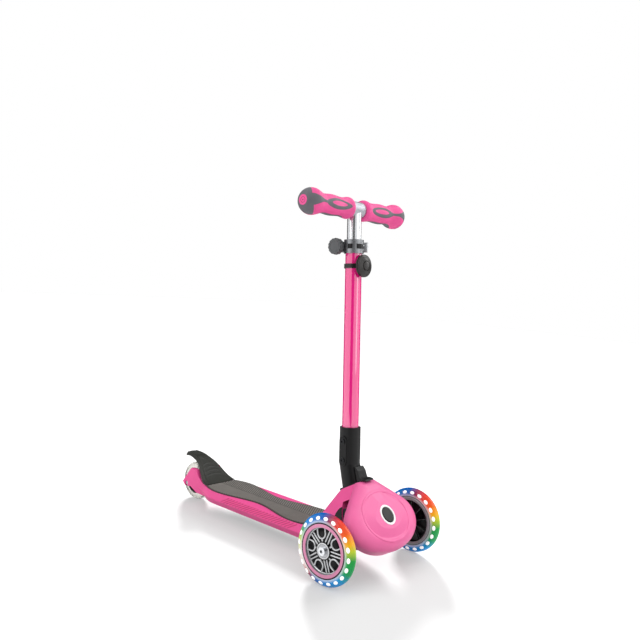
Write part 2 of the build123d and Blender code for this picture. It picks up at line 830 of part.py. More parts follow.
for name, sign in (("left", 1), ("right", -1)):
    wheel_plane = radial(front_axle_y, front_r)
    wheel_line = Axis(front_axle(0), (1, 0, 0))
    trim_ring = ring(front_axle(sign * trim_seat), sign, trim_ring_outer_d / 2, trim_ring_inner_d / 2)
    with BuildPart() as tyre:
        with BuildSketch(wheel_plane) as tread:
            with Locations((sign * wheel_x, hub_r)):
                Rectangle(tyre_width, front_r - hub_r, align=(Align.CENTER, Align.MIN))
            fillet(tread.vertices().group_by(Axis.Y)[-1], radius=tyre_edge)
            with Locations((sign * wheel_x, hub_r)):
                Rectangle(light_ring_width, 2 * light_ring_depth, mode=Mode.SUBTRACT)
        revolve(axis=wheel_line)
    save(tyre, f"tyre_{name}")

    with BuildPart() as light_ring:
        with BuildSketch(wheel_plane):
            with Locations((sign * wheel_x, hub_r)):
                Rectangle(light_ring_width, light_ring_depth, align=(Align.CENTER, Align.MIN))
        revolve(axis=wheel_line)
    save(light_ring, f"light_ring_{name}")

    with BuildPart() as hub:
        extrude(ring(front_axle(sign * hub_in), sign, hub_r, hub_r - hub_rim_wall), amount=hub_width)
        extrude(ring(front_axle(sign * web_in), sign, hub_r - hub_rim_wall / 2), amount=hub_web)
        extrude(ring(front_axle(sign * bearing_in), sign, hub_boss_d / 2), amount=bearing_span)
        extrude(ring(front_axle(0), sign, axle_d / 2 + axle_play), amount=front_track, mode=Mode.SUBTRACT)
        for start in (bearing_in, bearing_out - bearing_w):
            extrude(ring(front_axle(sign * start), sign, bearing_d / 2), amount=bearing_w, mode=Mode.SUBTRACT)
        # windows between the spokes
        with BuildSketch(across(front_axle(sign * (web_in - hub_web / 2)), sign)):
            with PolarLocations(window_r, spider_arms, start_angle=petal_turn):
                SlotOverall(window_l, window_w, rotation=90)
        extrude(amount=2 * hub_web, mode=Mode.SUBTRACT)
        # seat of the trim ring
        extrude(trim_ring, amount=trim_ring_t, mode=Mode.SUBTRACT)
    save(hub, f"hub_{name}")

    with BuildPart() as hub_ring:
        extrude(trim_ring, amount=trim_ring_t)
    save(hub_ring, f"hub_ring_{name}")

    with BuildPart() as hub_spider:
        with BuildSketch(across(front_axle(sign * web_out), sign)):
            petal_r = trim_ring_inner_d / 2 - petal_inset
            with PolarLocations(petal_r, spider_arms, start_angle=petal_turn):
                Circle(petal_d / 2)
                Circle(petal_d / 2 - spider_rib, mode=Mode.SUBTRACT)
            with PolarLocations(trim_ring_inner_d / 4, spider_arms, start_angle=spider_turn):
                Rectangle(trim_ring_inner_d / 2, spider_rib)
            Circle(spider_r, mode=Mode.INTERSECT)
            Circle(spider_r)
            Circle(spider_r - spider_rib, mode=Mode.SUBTRACT)
        extrude(amount=spider_t)
    save(hub_spider, f"hub_spider_{name}")

    with BuildPart() as bearings:
        for start in (bearing_in, bearing_out - bearing_w):
            race = ring(front_axle(sign * start), sign, bearing_d / 2, axle_d / 2 + running)
            extrude(race, amount=bearing_w)
    save(bearings, f"bearings_{name}")

# Rear wheel
rear_line = Axis(rear_axle_at(0), (1, 0, 0))
rear_race = bearing_span / 2 - bearing_w
with BuildPart() as rear_tyre:
    with BuildSketch(radial(rear_axle_y, rear_r)) as tread:
        with Locations((0, rear_hub_d / 2)):
            Rectangle(tyre_width, rear_r - rear_hub_d / 2, align=(Align.CENTER, Align.MIN))
        fillet(tread.vertices().group_by(Axis.Y)[-1], radius=tyre_edge)
    revolve(axis=rear_line)
save(rear_tyre, "rear_tyre")

with BuildPart() as rear_hub:
    extrude(ring(rear_axle_at(0), 1, rear_hub_d / 2, axle_d / 2 + axle_play), amount=hub_width / 2, both=True)
    for sign in (1, -1):
        race_seat = ring(rear_axle_at(sign * rear_race), sign, bearing_d / 2)
        extrude(race_seat, amount=bearing_span, mode=Mode.SUBTRACT)
        web_face = rear_axle_at(sign * hub_web / 2)
        hollow = ring(web_face, sign, rear_hub_d / 2 - rear_wall, bearing_d / 2 + rear_wall)
        extrude(hollow, amount=hub_width, mode=Mode.SUBTRACT)
save(rear_hub, "rear_hub")

with BuildPart() as rear_bearings:
    for sign in (1, -1):
        race = ring(rear_axle_at(sign * rear_race), sign, bearing_d / 2, axle_d / 2 + running)
        extrude(race, amount=bearing_w)
save(rear_bearings, "rear_bearings")

with BuildPart() as rear_axle:
    extrude(ring(rear_axle_at(0), 1, axle_d / 2), amount=arm_out - rear_axle_recess, both=True)
save(rear_axle, "rear_axle")

with BuildPart() as rear_spacers:
    for sign in (1, -1):
        spacer_ring = ring(rear_axle_at(sign * bearing_span / 2), sign, rear_spacer_d / 2, axle_d / 2)
        extrude(spacer_ring, amount=arm_in - bearing_span / 2)
save(rear_spacers, "rear_spacers")

# Brake: ribbed fender hinged on the deck over the rear wheel, with a friction pad under it
fender_low = deck_top + fender_clear - rear_r
fender_top = fender_low + fender_t
root_run = -brake_pin_ahead - fender_root_run
foot_run = root_run + fender_flat
fender_crest = [(run, rear_r + rise) for run, rise in fender_rise]
fender_belly = [(run, crest - fender_t) for run, crest in reversed(fender_crest)]
tip = (fender_tip_run, rear_r + fender_tip_rise)
tip_under = (fender_tip_run - 2, rear_r + fender_tip_rise - fender_t)
foot_rear = (foot_run + fender_t, fender_low + 2)
root_half = fender_root_width / 2
tip_half = fender_tip_width / 2
neck_half = arm_in - fender_side_gap
with BuildPart() as brake_fender:
    with BuildSketch(across(rear_axle_at(0))):
        with BuildLine():
            Line((root_run, fender_low), (root_run, fender_top - 1))
            Spline((root_run, fender_top - 1), (foot_run, fender_top + 2), *fender_crest, tip)
            Line(tip, tip_under)
            Spline(tip_under, *fender_belly, foot_rear)
            Polyline(foot_rear, (foot_run, fender_low), (root_run, fender_low))
        make_face()
    extrude(amount=root_half, both=True)
    # plan of the fender: broad root, neck between the arms, rounded tip
    with BuildSketch(Plane.XY):
        with BuildLine() as plan:
            Line((0, rear_axle_y + root_run), (root_half, rear_axle_y + root_run))
            Line((root_half, rear_axle_y + root_run), (root_half, brake_pin_y - 2))
            Line((root_half, brake_pin_y - 2), (neck_half, brake_pin_y + fender_neck))
            Spline(
                (neck_half, brake_pin_y + fender_neck),
                (neck_half - 2, rear_axle_y - rear_r + 6),
                (tip_half + 2, rear_axle_y),
                (tip_half - 3, rear_axle_y + fender_tip_run - 2),
            )
            Line((tip_half - 3, rear_axle_y + fender_tip_run - 2), (0, rear_axle_y + fender_tip_run))
            mirror(plan.line, about=Plane.YZ)
        make_face()
    extrude(amount=3 * rear_wheel_d, mode=Mode.INTERSECT)
    for sign in (1, -1):
        with BuildSketch(across((sign * brake_lug_x - brake_lug_w / 2, brake_pin_y, brake_pin_z))):
            Circle(brake_lug_d / 2)
            Rectangle(brake_lug_d, rear_r + fender_low + 1 - brake_pin_z, align=(Align.CENTER, Align.MIN))
        extrude(amount=brake_lug_w)
    with BuildSketch(across((0, brake_pin_y, brake_pin_z))):
        Circle(brake_pin_d / 2 + running)
    extrude(amount=fender_root_width, both=True, mode=Mode.SUBTRACT)
save(brake_fender, "brake_fender")

with BuildPart() as brake_pad:
    pad_from = radians(brake_pad_from)
    pad_to = radians(brake_pad_to)
    with BuildSketch(across(rear_axle_at(0))):
        Circle(rear_r + brake_pad_gap + brake_pad_t)
        Circle(rear_r + brake_pad_gap, mode=Mode.SUBTRACT)
        Polygon(
            (0, 0),
            (rear_wheel_d * cos(pad_from), rear_wheel_d * sin(pad_from)),
            (rear_wheel_d * cos(pad_to), rear_wheel_d * sin(pad_to)),
            align=None,
            mode=Mode.INTERSECT,
        )
    extrude(amount=brake_pad_width / 2, both=True)
    add(brake_fender.part, mode=Mode.SUBTRACT)
save(brake_pad, "brake_pad")

with BuildPart() as brake_pin:
    with BuildSketch(across((0, brake_pin_y, brake_pin_z))):
        Circle(brake_pin_d / 2)
    extrude(amount=fender_root_width / 2, both=True)
save(brake_pin, "brake_pin")

with BuildPart() as brake_spring:
    with BuildSketch(across((0, brake_pin_y, brake_pin_z))):
        Circle(brake_spring_d / 2)
        Circle(brake_pin_d / 2, mode=Mode.SUBTRACT)
    extrude(amount=brake_spring_w / 2, both=True)
save(brake_spring, "brake_spring")

# Fold bracket: foot in the neck, elbow and the socket that holds the tube
foot_back_a = pin_a - foot_back_r
foot_mid_a = (foot_back_a + foot_front_a) / 2
foot_half_a = (foot_front_a - foot_back_a) / 2
heel_r = pin_n - foot_floor_n
foot_base = rim_n + gap
with BuildPart() as fold_bracket:
    with BuildSketch(side):
        with BuildLine():
            ThreePointArc(
                (pin_a, foot_floor_n),
                (pin_a - heel_r * sin(tilt), pin_n - heel_r * cos(tilt)),
                (pin_a - heel_r, pin_n),
            )
            Polyline(
                (pin_a - heel_r, pin_n),
                (pin_a - heel_r, foot_base + 2),
                (foot_front_a - 0.5, foot_base + 2),
                (foot_front_a - 0.5, foot_floor_n + 4),
                (foot_front_a - 3, foot_floor_n),
                (pin_a, foot_floor_n),
            )
        make_face()
    extrude(amount=foot_width / 2, both=True)
    with BuildSketch(neck(foot_base)):
        with Locations((0, -foot_mid_a)):
            Ellipse(bracket_w / 2, foot_half_a)
    with BuildSketch(along_tube(loft_top_h)):
        Circle(socket_d / 2)
    loft()
    with BuildSketch(along_tube(loft_top_h)):
        Circle(socket_d / 2)
    extrude(amount=socket_top_h - loft_top_h)
    # raised pads for the two cross bolts
    pad_point = along_tube(bolt_low_h + bolt_pitch / 2).origin
    with BuildSketch(Plane(pad_point, x_dir=tube_dir, z_dir=(-1, 0, 0))):
        SlotOverall(bolt_pitch + pad_w + 4, pad_w)
    extrude(amount=socket_d / 2 + pad_t, both=True)
    with BuildSketch(along_tube(tube_foot_h)):
        Circle(tube_d / 2)
    extrude(amount=socket_top_h, mode=Mode.SUBTRACT)
    extrude(cross_bolt_circles(), amount=socket_d, both=True, mode=Mode.SUBTRACT)
    with BuildSketch(across(place(pin_a, pin_n))):
        Circle(fold_pin_d / 2 + running)
    extrude(amount=bracket_w, both=True, mode=Mode.SUBTRACT)
save(fold_bracket, "fold_bracket")

with BuildPart() as outer_tube:
    with BuildSketch(along_tube(tube_foot_h)):
        Circle(tube_d / 2)
        Circle(tube_d / 2 - tube_wall, mode=Mode.SUBTRACT)
    extrude(amount=tube_top_h - tube_foot_h)
    extrude(cross_bolt_circles(), amount=tube_d, both=True, mode=Mode.SUBTRACT)
    # clamping slot down the back of the tube's mouth
    with BuildSketch(Plane(along_tube(tube_top_h).origin, x_dir=(1, 0, 0), z_dir=tube_back)):
        Rectangle(clamp_split / 2, 2 * clamp_height)
    extrude(amount=tube_d, mode=Mode.SUBTRACT)
save(outer_tube, "outer_tube")

with BuildPart() as bracket_bolts:
    head_x = socket_d / 2 + pad_t
    extrude(cross_bolt_circles(), amount=head_x, both=True)
    for sign in (1, -1):
        bolt_face = Plane(along_tube(bolt_low_h).origin, x_dir=tube_dir, z_dir=(sign, 0, 0)).offset(head_x)
        with BuildSketch(bolt_face):
            with Locations((0, 0), (bolt_pitch, 0)):
                Circle(bolt_head_d / 2)
                RegularPolygon(bolt_hex_d / 2, 6, mode=Mode.SUBTRACT)
        extrude(amount=bolt_proud)
save(bracket_bolts, "bracket_bolts")

with BuildPart() as tube_bush:
    with BuildSketch(along_tube(tube_top_h - bush_length)):
        Circle(tube_d / 2 - tube_wall)
        Circle(inner_tube_d / 2 + running, mode=Mode.SUBTRACT)
    extrude(amount=bush_length)
    with BuildSketch(along_tube(tube_top_h)):
        Circle(tube_d / 2)
        Circle(inner_tube_d / 2 + running, mode=Mode.SUBTRACT)
    extrude(amount=bush_flange_t)
save(tube_bush, "tube_bush")

# Fold latch: thumb wedge on the front of the elbow with a tab over the rim
wedge_a = foot_front_a + latch_play
wedge_n = foot_base + 1.5
front_point = along_tube(loft_top_h).origin - tube_back * (socket_d / 2) - steer_centre
line_a = front_point.dot(steer_dir) - foot_front_a
line_n = front_point.dot(neck_dir) - foot_base
line_length = hypot(line_a, line_n)
up_a = line_a / line_length
up_n = line_n / line_length
with BuildPart() as fold_latch:
    top_a = wedge_a + up_a * latch_length
    top_n = wedge_n + up_n * latch_length
    front_a = wedge_a + latch_t
    with BuildSketch(side):
        Polygon(
            (wedge_a, wedge_n),
            (top_a, top_n),
            (top_a + latch_nose, top_n - 1),
            (front_a + 1, top_n - latch_scoop),
            (front_a, foot_base + latch_tab_t + 2),
            (front_a + latch_tab / 2, foot_base + latch_tab_t),
            (front_a + latch_tab, foot_base),
            (front_a + latch_tab, foot_base - 3),
            (front_a + latch_tab / 2, foot_base + gap),
            (front_a, foot_base + gap),
            align=None,
        )
    extrude(amount=latch_w / 2, both=True)
save(fold_latch, "fold_latch")

# Clamp at the tube's mouth
clamp_r = tube_d / 2 + clamp_wall
with BuildPart() as clamp_collar:
    with BuildSketch(along_tube(clamp_h)):
        Circle(clamp_r)
    extrude(amount=clamp_height)
    with BuildSketch(along_tube(clamp_h + (clamp_height - lug_height) / 2)):
        with Locations((0, tube_d / 2)):
            lug_run = skewer_back + lug_depth - tube_d / 2
            Rectangle(clamp_split + 2 * lug_w, lug_run, align=(Align.CENTER, Align.MIN))
    extrude(amount=lug_height)
    with BuildSketch(along_tube(clamp_h)):
        Circle(tube_d / 2)
        Rectangle(clamp_split, 4 * skewer_back, align=(Align.CENTER, Align.MIN))
    extrude(amount=clamp_height, mode=Mode.SUBTRACT)
    with BuildSketch(along_tube(clamp_h + (clamp_height - clamp_band) / 2)):
        Circle(clamp_r + 1)
        Circle(clamp_r - clamp_band_depth, mode=Mode.SUBTRACT)
        Rectangle(4 * clamp_r, 4 * clamp_r, align=(Align.CENTER, Align.MIN), mode=Mode.SUBTRACT)
    extrude(amount=clamp_band, mode=Mode.SUBTRACT)
    skewer_point = along_tube(clamp_h + clamp_height / 2).origin + tube_back * skewer_back
    with BuildSketch(across(skewer_point)):
        Circle(skewer_d / 2)
    extrude(amount=clamp_r * 2, both=True, mode=Mode.SUBTRACT)
save(clamp_collar, "clamp_collar")

lug_x = clamp_split / 2 + lug_w
knob_x = clamp_r + knob_gap
skewer_run = knob_x + knob_t - knob_face
barrel_x = lug_x + lever_eye_d / 2 + gap
with BuildPart() as clamp_skewer:
    with BuildSketch(across(skewer_point + Vector(-skewer_run, 0, 0))):
        Circle(skewer_d / 2)
    extrude(amount=skewer_run + barrel_x)
    with BuildSketch(along_tube(clamp_h + (clamp_height - lever_h) / 2)):
        with Locations((barrel_x, skewer_back)):
            Circle(barrel_d / 2)
    extrude(amount=lever_h)
save(clamp_skewer, "clamp_skewer")

with BuildPart() as clamp_lever:
    with BuildSketch(along_tube(clamp_h + (clamp_height - lever_h) / 2)):
        with Locations((barrel_x, skewer_back)):
            Circle(lever_eye_d / 2)
        arm_x = max(clamp_r + 1, barrel_x - 1)
        with Locations((arm_x, skewer_back)):
            Rectangle(lever_t, lever_reach, align=(Align.MIN, Align.MAX))
        with Locations((arm_x + lever_t / 2, skewer_back - lever_reach)):
            Circle(lever_t / 2)
        with Locations((barrel_x, skewer_back)):
            Circle(barrel_d / 2 + running, mode=Mode.SUBTRACT)
    extrude(amount=lever_h)
    # the fork leaves room for the skewer
    with BuildSketch(along_tube(clamp_h + (clamp_height - skewer_d) / 2 - gap)):
        with Locations((barrel_x, skewer_back)):
            Circle(lever_eye_d / 2 + lug_room)
    extrude(amount=skewer_d + 2 * gap, mode=Mode.SUBTRACT)
    # two slots through the thumb piece
    slot_mid = skewer_point - tube_back * (lever_reach * 0.68)
    with BuildSketch(Plane(slot_mid, x_dir=tube_back, z_dir=(1, 0, 0))):
        with GridLocations(1, lever_h * 0.42, 1, 2):
            SlotOverall(lever_reach * 0.34, lever_slot_w)
    extrude(amount=2 * clamp_r, mode=Mode.SUBTRACT)
save(clamp_lever, "clamp_lever")

with BuildPart() as clamp_knob:
    with BuildSketch(across(skewer_point + Vector(-lug_x - gap, 0, 0), -1)):
        Circle(knob_neck_d / 2)
    extrude(amount=knob_x - lug_x - gap)
    with BuildSketch(across(skewer_point + Vector(-knob_x, 0, 0), -1)):
        Circle(knob_d / 2)
        with PolarLocations(knob_d / 2 + knob_scallop_d / 5, knob_scallops):
            Circle(knob_scallop_d / 2, mode=Mode.SUBTRACT)
    extrude(amount=knob_t)
    with BuildSketch(across(skewer_point)):
        Circle(skewer_d / 2 + running)
    extrude(amount=-skewer_run - running, mode=Mode.SUBTRACT)
save(clamp_knob, "clamp_knob")

# Twist bell strapped to the front of the tube
bell_point = along_tube(bell_h).origin
bell_plane = Plane(origin=bell_point, x_dir=(1, 0, 0), z_dir=tube_back * -1)
strap_r = tube_d / 2 + strap_t
stem_end = strap_r + bell_stem
with BuildPart() as bell_strap:
    with BuildSketch(along_tube(bell_h - strap_h / 2)):
        Circle(strap_r)
    extrude(amount=strap_h)
    with BuildSketch(bell_plane):
        Circle(bell_stem_d / 2)
    extrude(amount=stem_end)
    with BuildSketch(along_tube(bell_h - 2 * strap_h)):
        Circle(tube_d / 2)
    extrude(amount=4 * strap_h, mode=Mode.SUBTRACT)
save(bell_strap, "bell_strap")

bell_side = Plane(origin=bell_point, x_dir=tube_back * -1, z_dir=(1, 0, 0))
bell_line = Axis(bell_point, tube_back * -1)
base_end = stem_end + bell_base_t
cap_start = base_end + gap
cap_end = cap_start + bell_dome_t
cap_seat = cap_end - bell_crown_t
spindle_end = cap_seat - running
with BuildPart() as bell_base:
    with BuildSketch(bell_side):
        with BuildLine():
            Polyline(
                (stem_end, 0),
                (stem_end, bell_stem_d / 2),
                (base_end - bell_rim, bell_d / 2),
                (base_end, bell_d / 2),
                (base_end, bell_spindle_d / 2),
                (spindle_end, bell_spindle_d / 2),
                (spindle_end, 0),
                (stem_end, 0),
            )
        make_face()
    revolve(axis=bell_line)
save(bell_base, "bell_base")

with BuildPart() as bell_dome:
    with BuildSketch(bell_side):
        with BuildLine():
            Line((cap_start, bell_spindle_d / 2 + 4), (cap_start, bell_d / 2))
            Spline(
                (cap_start, bell_d / 2),
                (cap_start + bell_dome_t * 0.45, bell_d / 2 - 1.5),
                (cap_start + bell_dome_t * 0.8, bell_d / 4),
            )
            Polyline(
                (cap_start + bell_dome_t * 0.8, bell_d / 4),
                (cap_start + bell_dome_t * 0.65, bell_d / 4 - 1),
                (cap_end, bell_d / 4 - 2),
                (cap_end, 0),
                (cap_seat, 0),
                (cap_seat, bell_spindle_d / 2 + running),
                (cap_start, bell_spindle_d / 2 + running),
                (cap_start, bell_spindle_d / 2 + 4),
            )
        make_face()
    revolve(axis=bell_line)
save(bell_dome, "bell_dome")

# Handlebar: inner tube, crossbar, moulded grips and their end plugs
bar_point = along_tube(bar_h).origin
bar_plane = Plane(origin=bar_point, x_dir=(1, 0, 0), z_dir=tube_back * -1)
bar_line = Axis(bar_point, (1, 0, 0))
with BuildPart() as inner_tube:
    with BuildSketch(along_tube(inner_tube_bottom_h)):
        Circle(inner_tube_d / 2)
        Circle(inner_tube_d / 2 - tube_wall, mode=Mode.SUBTRACT)
    extrude(amount=bar_h - inner_tube_bottom_h)
    with BuildSketch(across(bar_point)):
        Circle(bar_sleeve_d / 2 + running)
    extrude(amount=bar_sleeve_w, both=True, mode=Mode.SUBTRACT)
save(inner_tube, "inner_tube")

with BuildPart() as crossbar:
    with BuildSketch(across(bar_point)):
        Circle(bar_sleeve_d / 2)
    extrude(amount=bar_sleeve_w / 2, both=True)
    with BuildSketch(across(bar_point)):
        Circle(bar_d / 2)
    extrude(amount=bar_length / 2, both=True)
    with BuildSketch(across(bar_point)):
        Circle(bar_d / 2 - bar_wall)
    extrude(amount=bar_length, both=True, mode=Mode.SUBTRACT)
save(crossbar, "crossbar")

grip_start = bar_sleeve_w / 2 + gap
for name, sign in (("left", 1), ("right", -1)):
    with BuildPart() as grip:
        with BuildSketch(bar_plane):
            with BuildLine():
                Polyline(
                    (sign * (bar_length / 2), bar_d / 2),
                    (sign * grip_start, bar_d / 2),
                    (sign * grip_start, grip_flange_d / 2 - grip_lip),
                )
                Spline(
                    (sign * grip_start, grip_flange_d / 2 - grip_lip),
                    (sign * (grip_start + grip_flange_run), grip_flange_d / 2),
                    (sign * (grip_start + grip_shaft_run), grip_shaft_d / 2),
                    (sign * (grip_bulb_x - grip_waist_run), grip_shaft_d / 2 + grip_belly),
                    (sign * (grip_bulb_x - grip_neck_run), grip_shaft_d / 2 - grip_notch),
                    (sign * grip_bulb_x, grip_bulb_d / 2),
                    (sign * (grip_reach - grip_end_run), grip_bulb_d / 2 - grip_end_drop),
                    (sign * grip_reach, plug_d / 2),
                )
                Polyline(
                    (sign * grip_reach, plug_d / 2),
                    (sign * (grip_reach - plug_t), plug_d / 2),
                    (sign * (grip_reach - plug_t), 0),
                    (sign * bar_length / 2, 0),
                    (sign * bar_length / 2, bar_d / 2),
                )
            make_face()
        revolve(axis=bar_line)
    save(grip, f"grip_{name}")

with BuildPart() as bar_plugs:
    for sign in (1, -1):
        with BuildSketch(across(bar_point + Vector(sign * (grip_reach - plug_t), 0, 0), sign)):
            Circle(plug_d / 2)
        extrude(amount=plug_t)
save(bar_plugs, "bar_plugs")
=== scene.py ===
"""Looks of the three-wheel kick scooter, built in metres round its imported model."""
import json
from math import atan2, cos, hypot, pi, radians, sin

import bpy
import numpy as np
from mathutils import Matrix, Vector
from mathutils.bvhtree import BVHTree


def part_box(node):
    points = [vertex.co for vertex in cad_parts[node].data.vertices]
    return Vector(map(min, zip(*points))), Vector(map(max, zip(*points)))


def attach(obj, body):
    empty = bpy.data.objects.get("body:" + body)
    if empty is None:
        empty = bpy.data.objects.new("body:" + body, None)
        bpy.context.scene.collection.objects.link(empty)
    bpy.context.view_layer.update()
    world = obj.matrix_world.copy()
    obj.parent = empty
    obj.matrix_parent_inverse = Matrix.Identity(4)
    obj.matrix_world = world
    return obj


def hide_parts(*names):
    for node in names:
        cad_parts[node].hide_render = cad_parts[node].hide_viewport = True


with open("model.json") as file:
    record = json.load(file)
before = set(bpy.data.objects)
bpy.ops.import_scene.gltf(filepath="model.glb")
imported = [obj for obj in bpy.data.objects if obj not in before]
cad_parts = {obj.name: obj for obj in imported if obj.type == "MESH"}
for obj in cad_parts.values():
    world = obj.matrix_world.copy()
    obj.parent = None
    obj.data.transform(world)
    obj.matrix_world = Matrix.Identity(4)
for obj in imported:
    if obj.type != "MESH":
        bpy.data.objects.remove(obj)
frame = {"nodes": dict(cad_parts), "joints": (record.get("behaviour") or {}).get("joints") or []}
nodes = frame["nodes"]
joints = {joint["name"]: joint for joint in frame["joints"]}
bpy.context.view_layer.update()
MM = 0.001
TURN = 2 * pi
TINY = 1e-6
SIDES = (("left", 1), ("right", -1))

# Colours as they look under plain white light, apart from those marked below as painted sheen, shade or
# light
PINK = "#F5549C"
# Paler pink for the cap: painted sheen, since the cap is the same plastic as the housing
SHEEN_CAP_PINK = "#EE66A2"
TUBE_PINK = "#FF0A8C"
GRIP_PINK = "#EE4C96"
TRIM_PINK = "#E792B8"
# Darker pink for the shoulder ridges: painted shade along them
SHADED_RIDGE_PINK = "#D8407F"
PLUG_PINK = "#B02C68"
GRIP_GREY = "#606066"
MAT_GREY = "#4A4845"
# Lighter grey for the mat's ribs: painted light on the rib tops, which are the same rubber as the mat
LIT_RIB_GREY = "#7B7772"
FENDER_GREY = "#353632"
KNOB_GREY = "#555759"
SMOKE_GREY = "#8C8D8F"
BLACK = "#0D0D0E"
BELL_BLACK = "#201C1A"
INNER_BLACK = "#1B1B1D"
RUBBER_BLACK = "#242424"
CARD_BLACK = "#050505"
ALLOY_GREY = "#8A8C8F"
# Greyer than the stem's silver: painted shade on the crossbar, which is the same bright alloy
SHADED_CROSSBAR_GREY = "#A9ACB2"
LEVER_SILVER = "#E2E4E6"
TUBE_SILVER = "#D9DBDE"
TRIM_SILVER = "#DCDEE0"
CHROME = "#DADCDF"
STEEL = "#A8A9AC"
DARK_STEEL = "#2A2A2C"
WHITE = "#F4F4F4"
LAMP_WHITE = "#FFFFFF"
ACETAL = "#C6C6BE"
CLEAR_TINT = "#E2E0D8"
PALE_GLOW = "#F4FAFF"
FULL_WHITE = (1, 1, 1, 1)

# The lamps' colours round a front tyre, as share of a turn from the front upwards
GLOW = (
    (0.00, "#12A03E"),
    (0.04, "#B8CC2C"),
    (0.07, "#F4B422"),
    (0.12, "#EC5A1E"),
    (0.18, "#DC2A1C"),
    (0.23, "#8A2E5A"),
    (0.27, "#0F5FB8"),
    (0.38, "#1284D6"),
    (0.43, "#2FA352"),
    (0.49, "#C8D860"),
    (0.55, "#F2ECDD"),
    (0.62, "#E9C9C4"),
    (0.66, "#A82420"),
    (0.70, "#1E4A9C"),
    (0.76, "#0C86DC"),
    (0.87, "#119CE4"),
    (0.93, "#12A45E"),
    (1.00, "#12A03E"),
)
glow_rough = 0.14
glow_specular = 0.35
glow_strength = 0.12
glow_fade = 0.45
glow_pale = 0.6

# Patches of colour, grain and gloss that every finish has
patch_scale = 45
patch_detail = 4.0
patch_stops = (0.3, 0.7)
grain_detail = 2.0
grain_depth = 0.3 * MM
gloss_spread = 0.07
least_rough = 0.02

# The grips' two colours
tone_grain = 1400
tone_bump = 0.2
tone_mottle = 0.06
tone_scale = 60
tone_detail = 3.0
tone_edge = (0.4, 0.6)


def linear(code):
    """An sRGB hex colour as a linear RGBA colour."""
    parts = [int(code[i:i + 2], 16) / 255 for i in (1, 3, 5)]
    return [p / 12.92 if p <= 0.04045 else ((p + 0.055) / 1.055) ** 2.4 for p in parts] + [1.0]


def shade(colour, factor):
    """A linear colour made lighter or darker."""
    return [min(1.0, c * factor) for c in colour[:3]] + [1.0]


def set_inputs(made, values):
    """Set a shader node's inputs by name, with _ for each space."""
    for key, value in values.items():
        made.inputs[key.replace("_", " ")].default_value = value


def node(tree, kind, **values):
    """A shader node with some inputs set by name."""
    made = tree.nodes.new(kind)
    set_inputs(made, values)
    return made


def feed(tree, socket, value):
    """Link an input to another node's output, or give it a plain value."""
    if isinstance(value, bpy.types.NodeSocket):
        tree.links.new(value, socket)
    else:
        socket.default_value = value


def calc(tree, operation, *inputs):
    """The result of a math node over outputs and plain values."""
    made = tree.nodes.new("ShaderNodeMath")
    made.operation = operation
    for socket, value in zip(made.inputs, inputs):
        feed(tree, socket, value)
    return made.outputs["Value"]


def map_range(tree, source, **limits):
    """A node that carries a value from one range to another."""
    made = node(tree, "ShaderNodeMapRange", **limits)
    tree.links.new(source, made.inputs["Value"])
    return made


def mix(tree, factor, first, second):
    """The result of mixing two colours, each an output or a plain colour."""
    made = tree.nodes.new("ShaderNodeMix")
    made.data_type = "RGBA"
    for name, value in (("Factor", factor), ("A", first), ("B", second)):
        feed(tree, made.inputs[name], value)
    return made.outputs["Result"]


def object_noise(tree, scale, detail, stretch=(1, 1, 1)):
    """Noise fixed to the object, with its scale per metre."""
    place = tree.nodes.new("ShaderNodeTexCoord")
    mapping = node(tree, "ShaderNodeMapping", Scale=stretch)
    noise = node(tree, "ShaderNodeTexNoise", Scale=scale, Detail=detail)
    tree.links.new(place.outputs["Object"], mapping.inputs["Vector"])
    tree.links.new(mapping.outputs["Vector"], noise.inputs["Vector"])
    return noise.outputs["Fac"]


def ramp(tree, source, stops):
    """The result of a colour ramp over a value, from (position, linear colour) stops."""
    made = tree.nodes.new("ShaderNodeValToRGB")
    elements = made.color_ramp.elements
    while len(elements) < len(stops):
        elements.new(1.0)
    for element, (position, colour) in zip(elements, stops):
        element.position = position
        element.color = colour
    tree.links.new(source, made.inputs["Fac"])
    return made.outputs["Color"]


def mottled(tree, code, mottle, scale, detail, stretch=(1, 1, 1)):
    """A colour in darker and lighter patches."""
    colour = linear(code)
    tones = (shade(colour, 1 - mottle), shade(colour, 1 + mottle))
    return ramp(tree, object_noise(tree, scale, detail, stretch), list(zip(patch_stops, tones)))


def surface(name, code, rough, mottle=0.05, grain=900, bump=0.1, stretch=(1, 1, 1), **sockets):
    """A moulded, cast or drawn surface: mottled colour, uneven gloss and a fine grain."""
    made = bpy.data.materials.new(name)
    made.use_nodes = True
    tree = made.node_tree
    shader = tree.nodes["Principled BSDF"]
    tint = mottled(tree, code, mottle, patch_scale, patch_detail, stretch)
    tree.links.new(tint, shader.inputs["Base Color"])
    fine = object_noise(tree, grain, grain_detail, stretch)
    smoothest = max(least_rough, rough - gloss_spread)
    gloss = map_range(tree, fine, To_Min=smoothest, To_Max=rough + gloss_spread)
    tree.links.new(gloss.outputs["Result"], shader.inputs["Roughness"])
    relief = node(tree, "ShaderNodeBump", Strength=bump, Distance=grain_depth)
    tree.links.new(fine, relief.inputs["Height"])
    tree.links.new(relief.outputs["Normal"], shader.inputs["Normal"])
    set_inputs(shader, sockets)
    return made


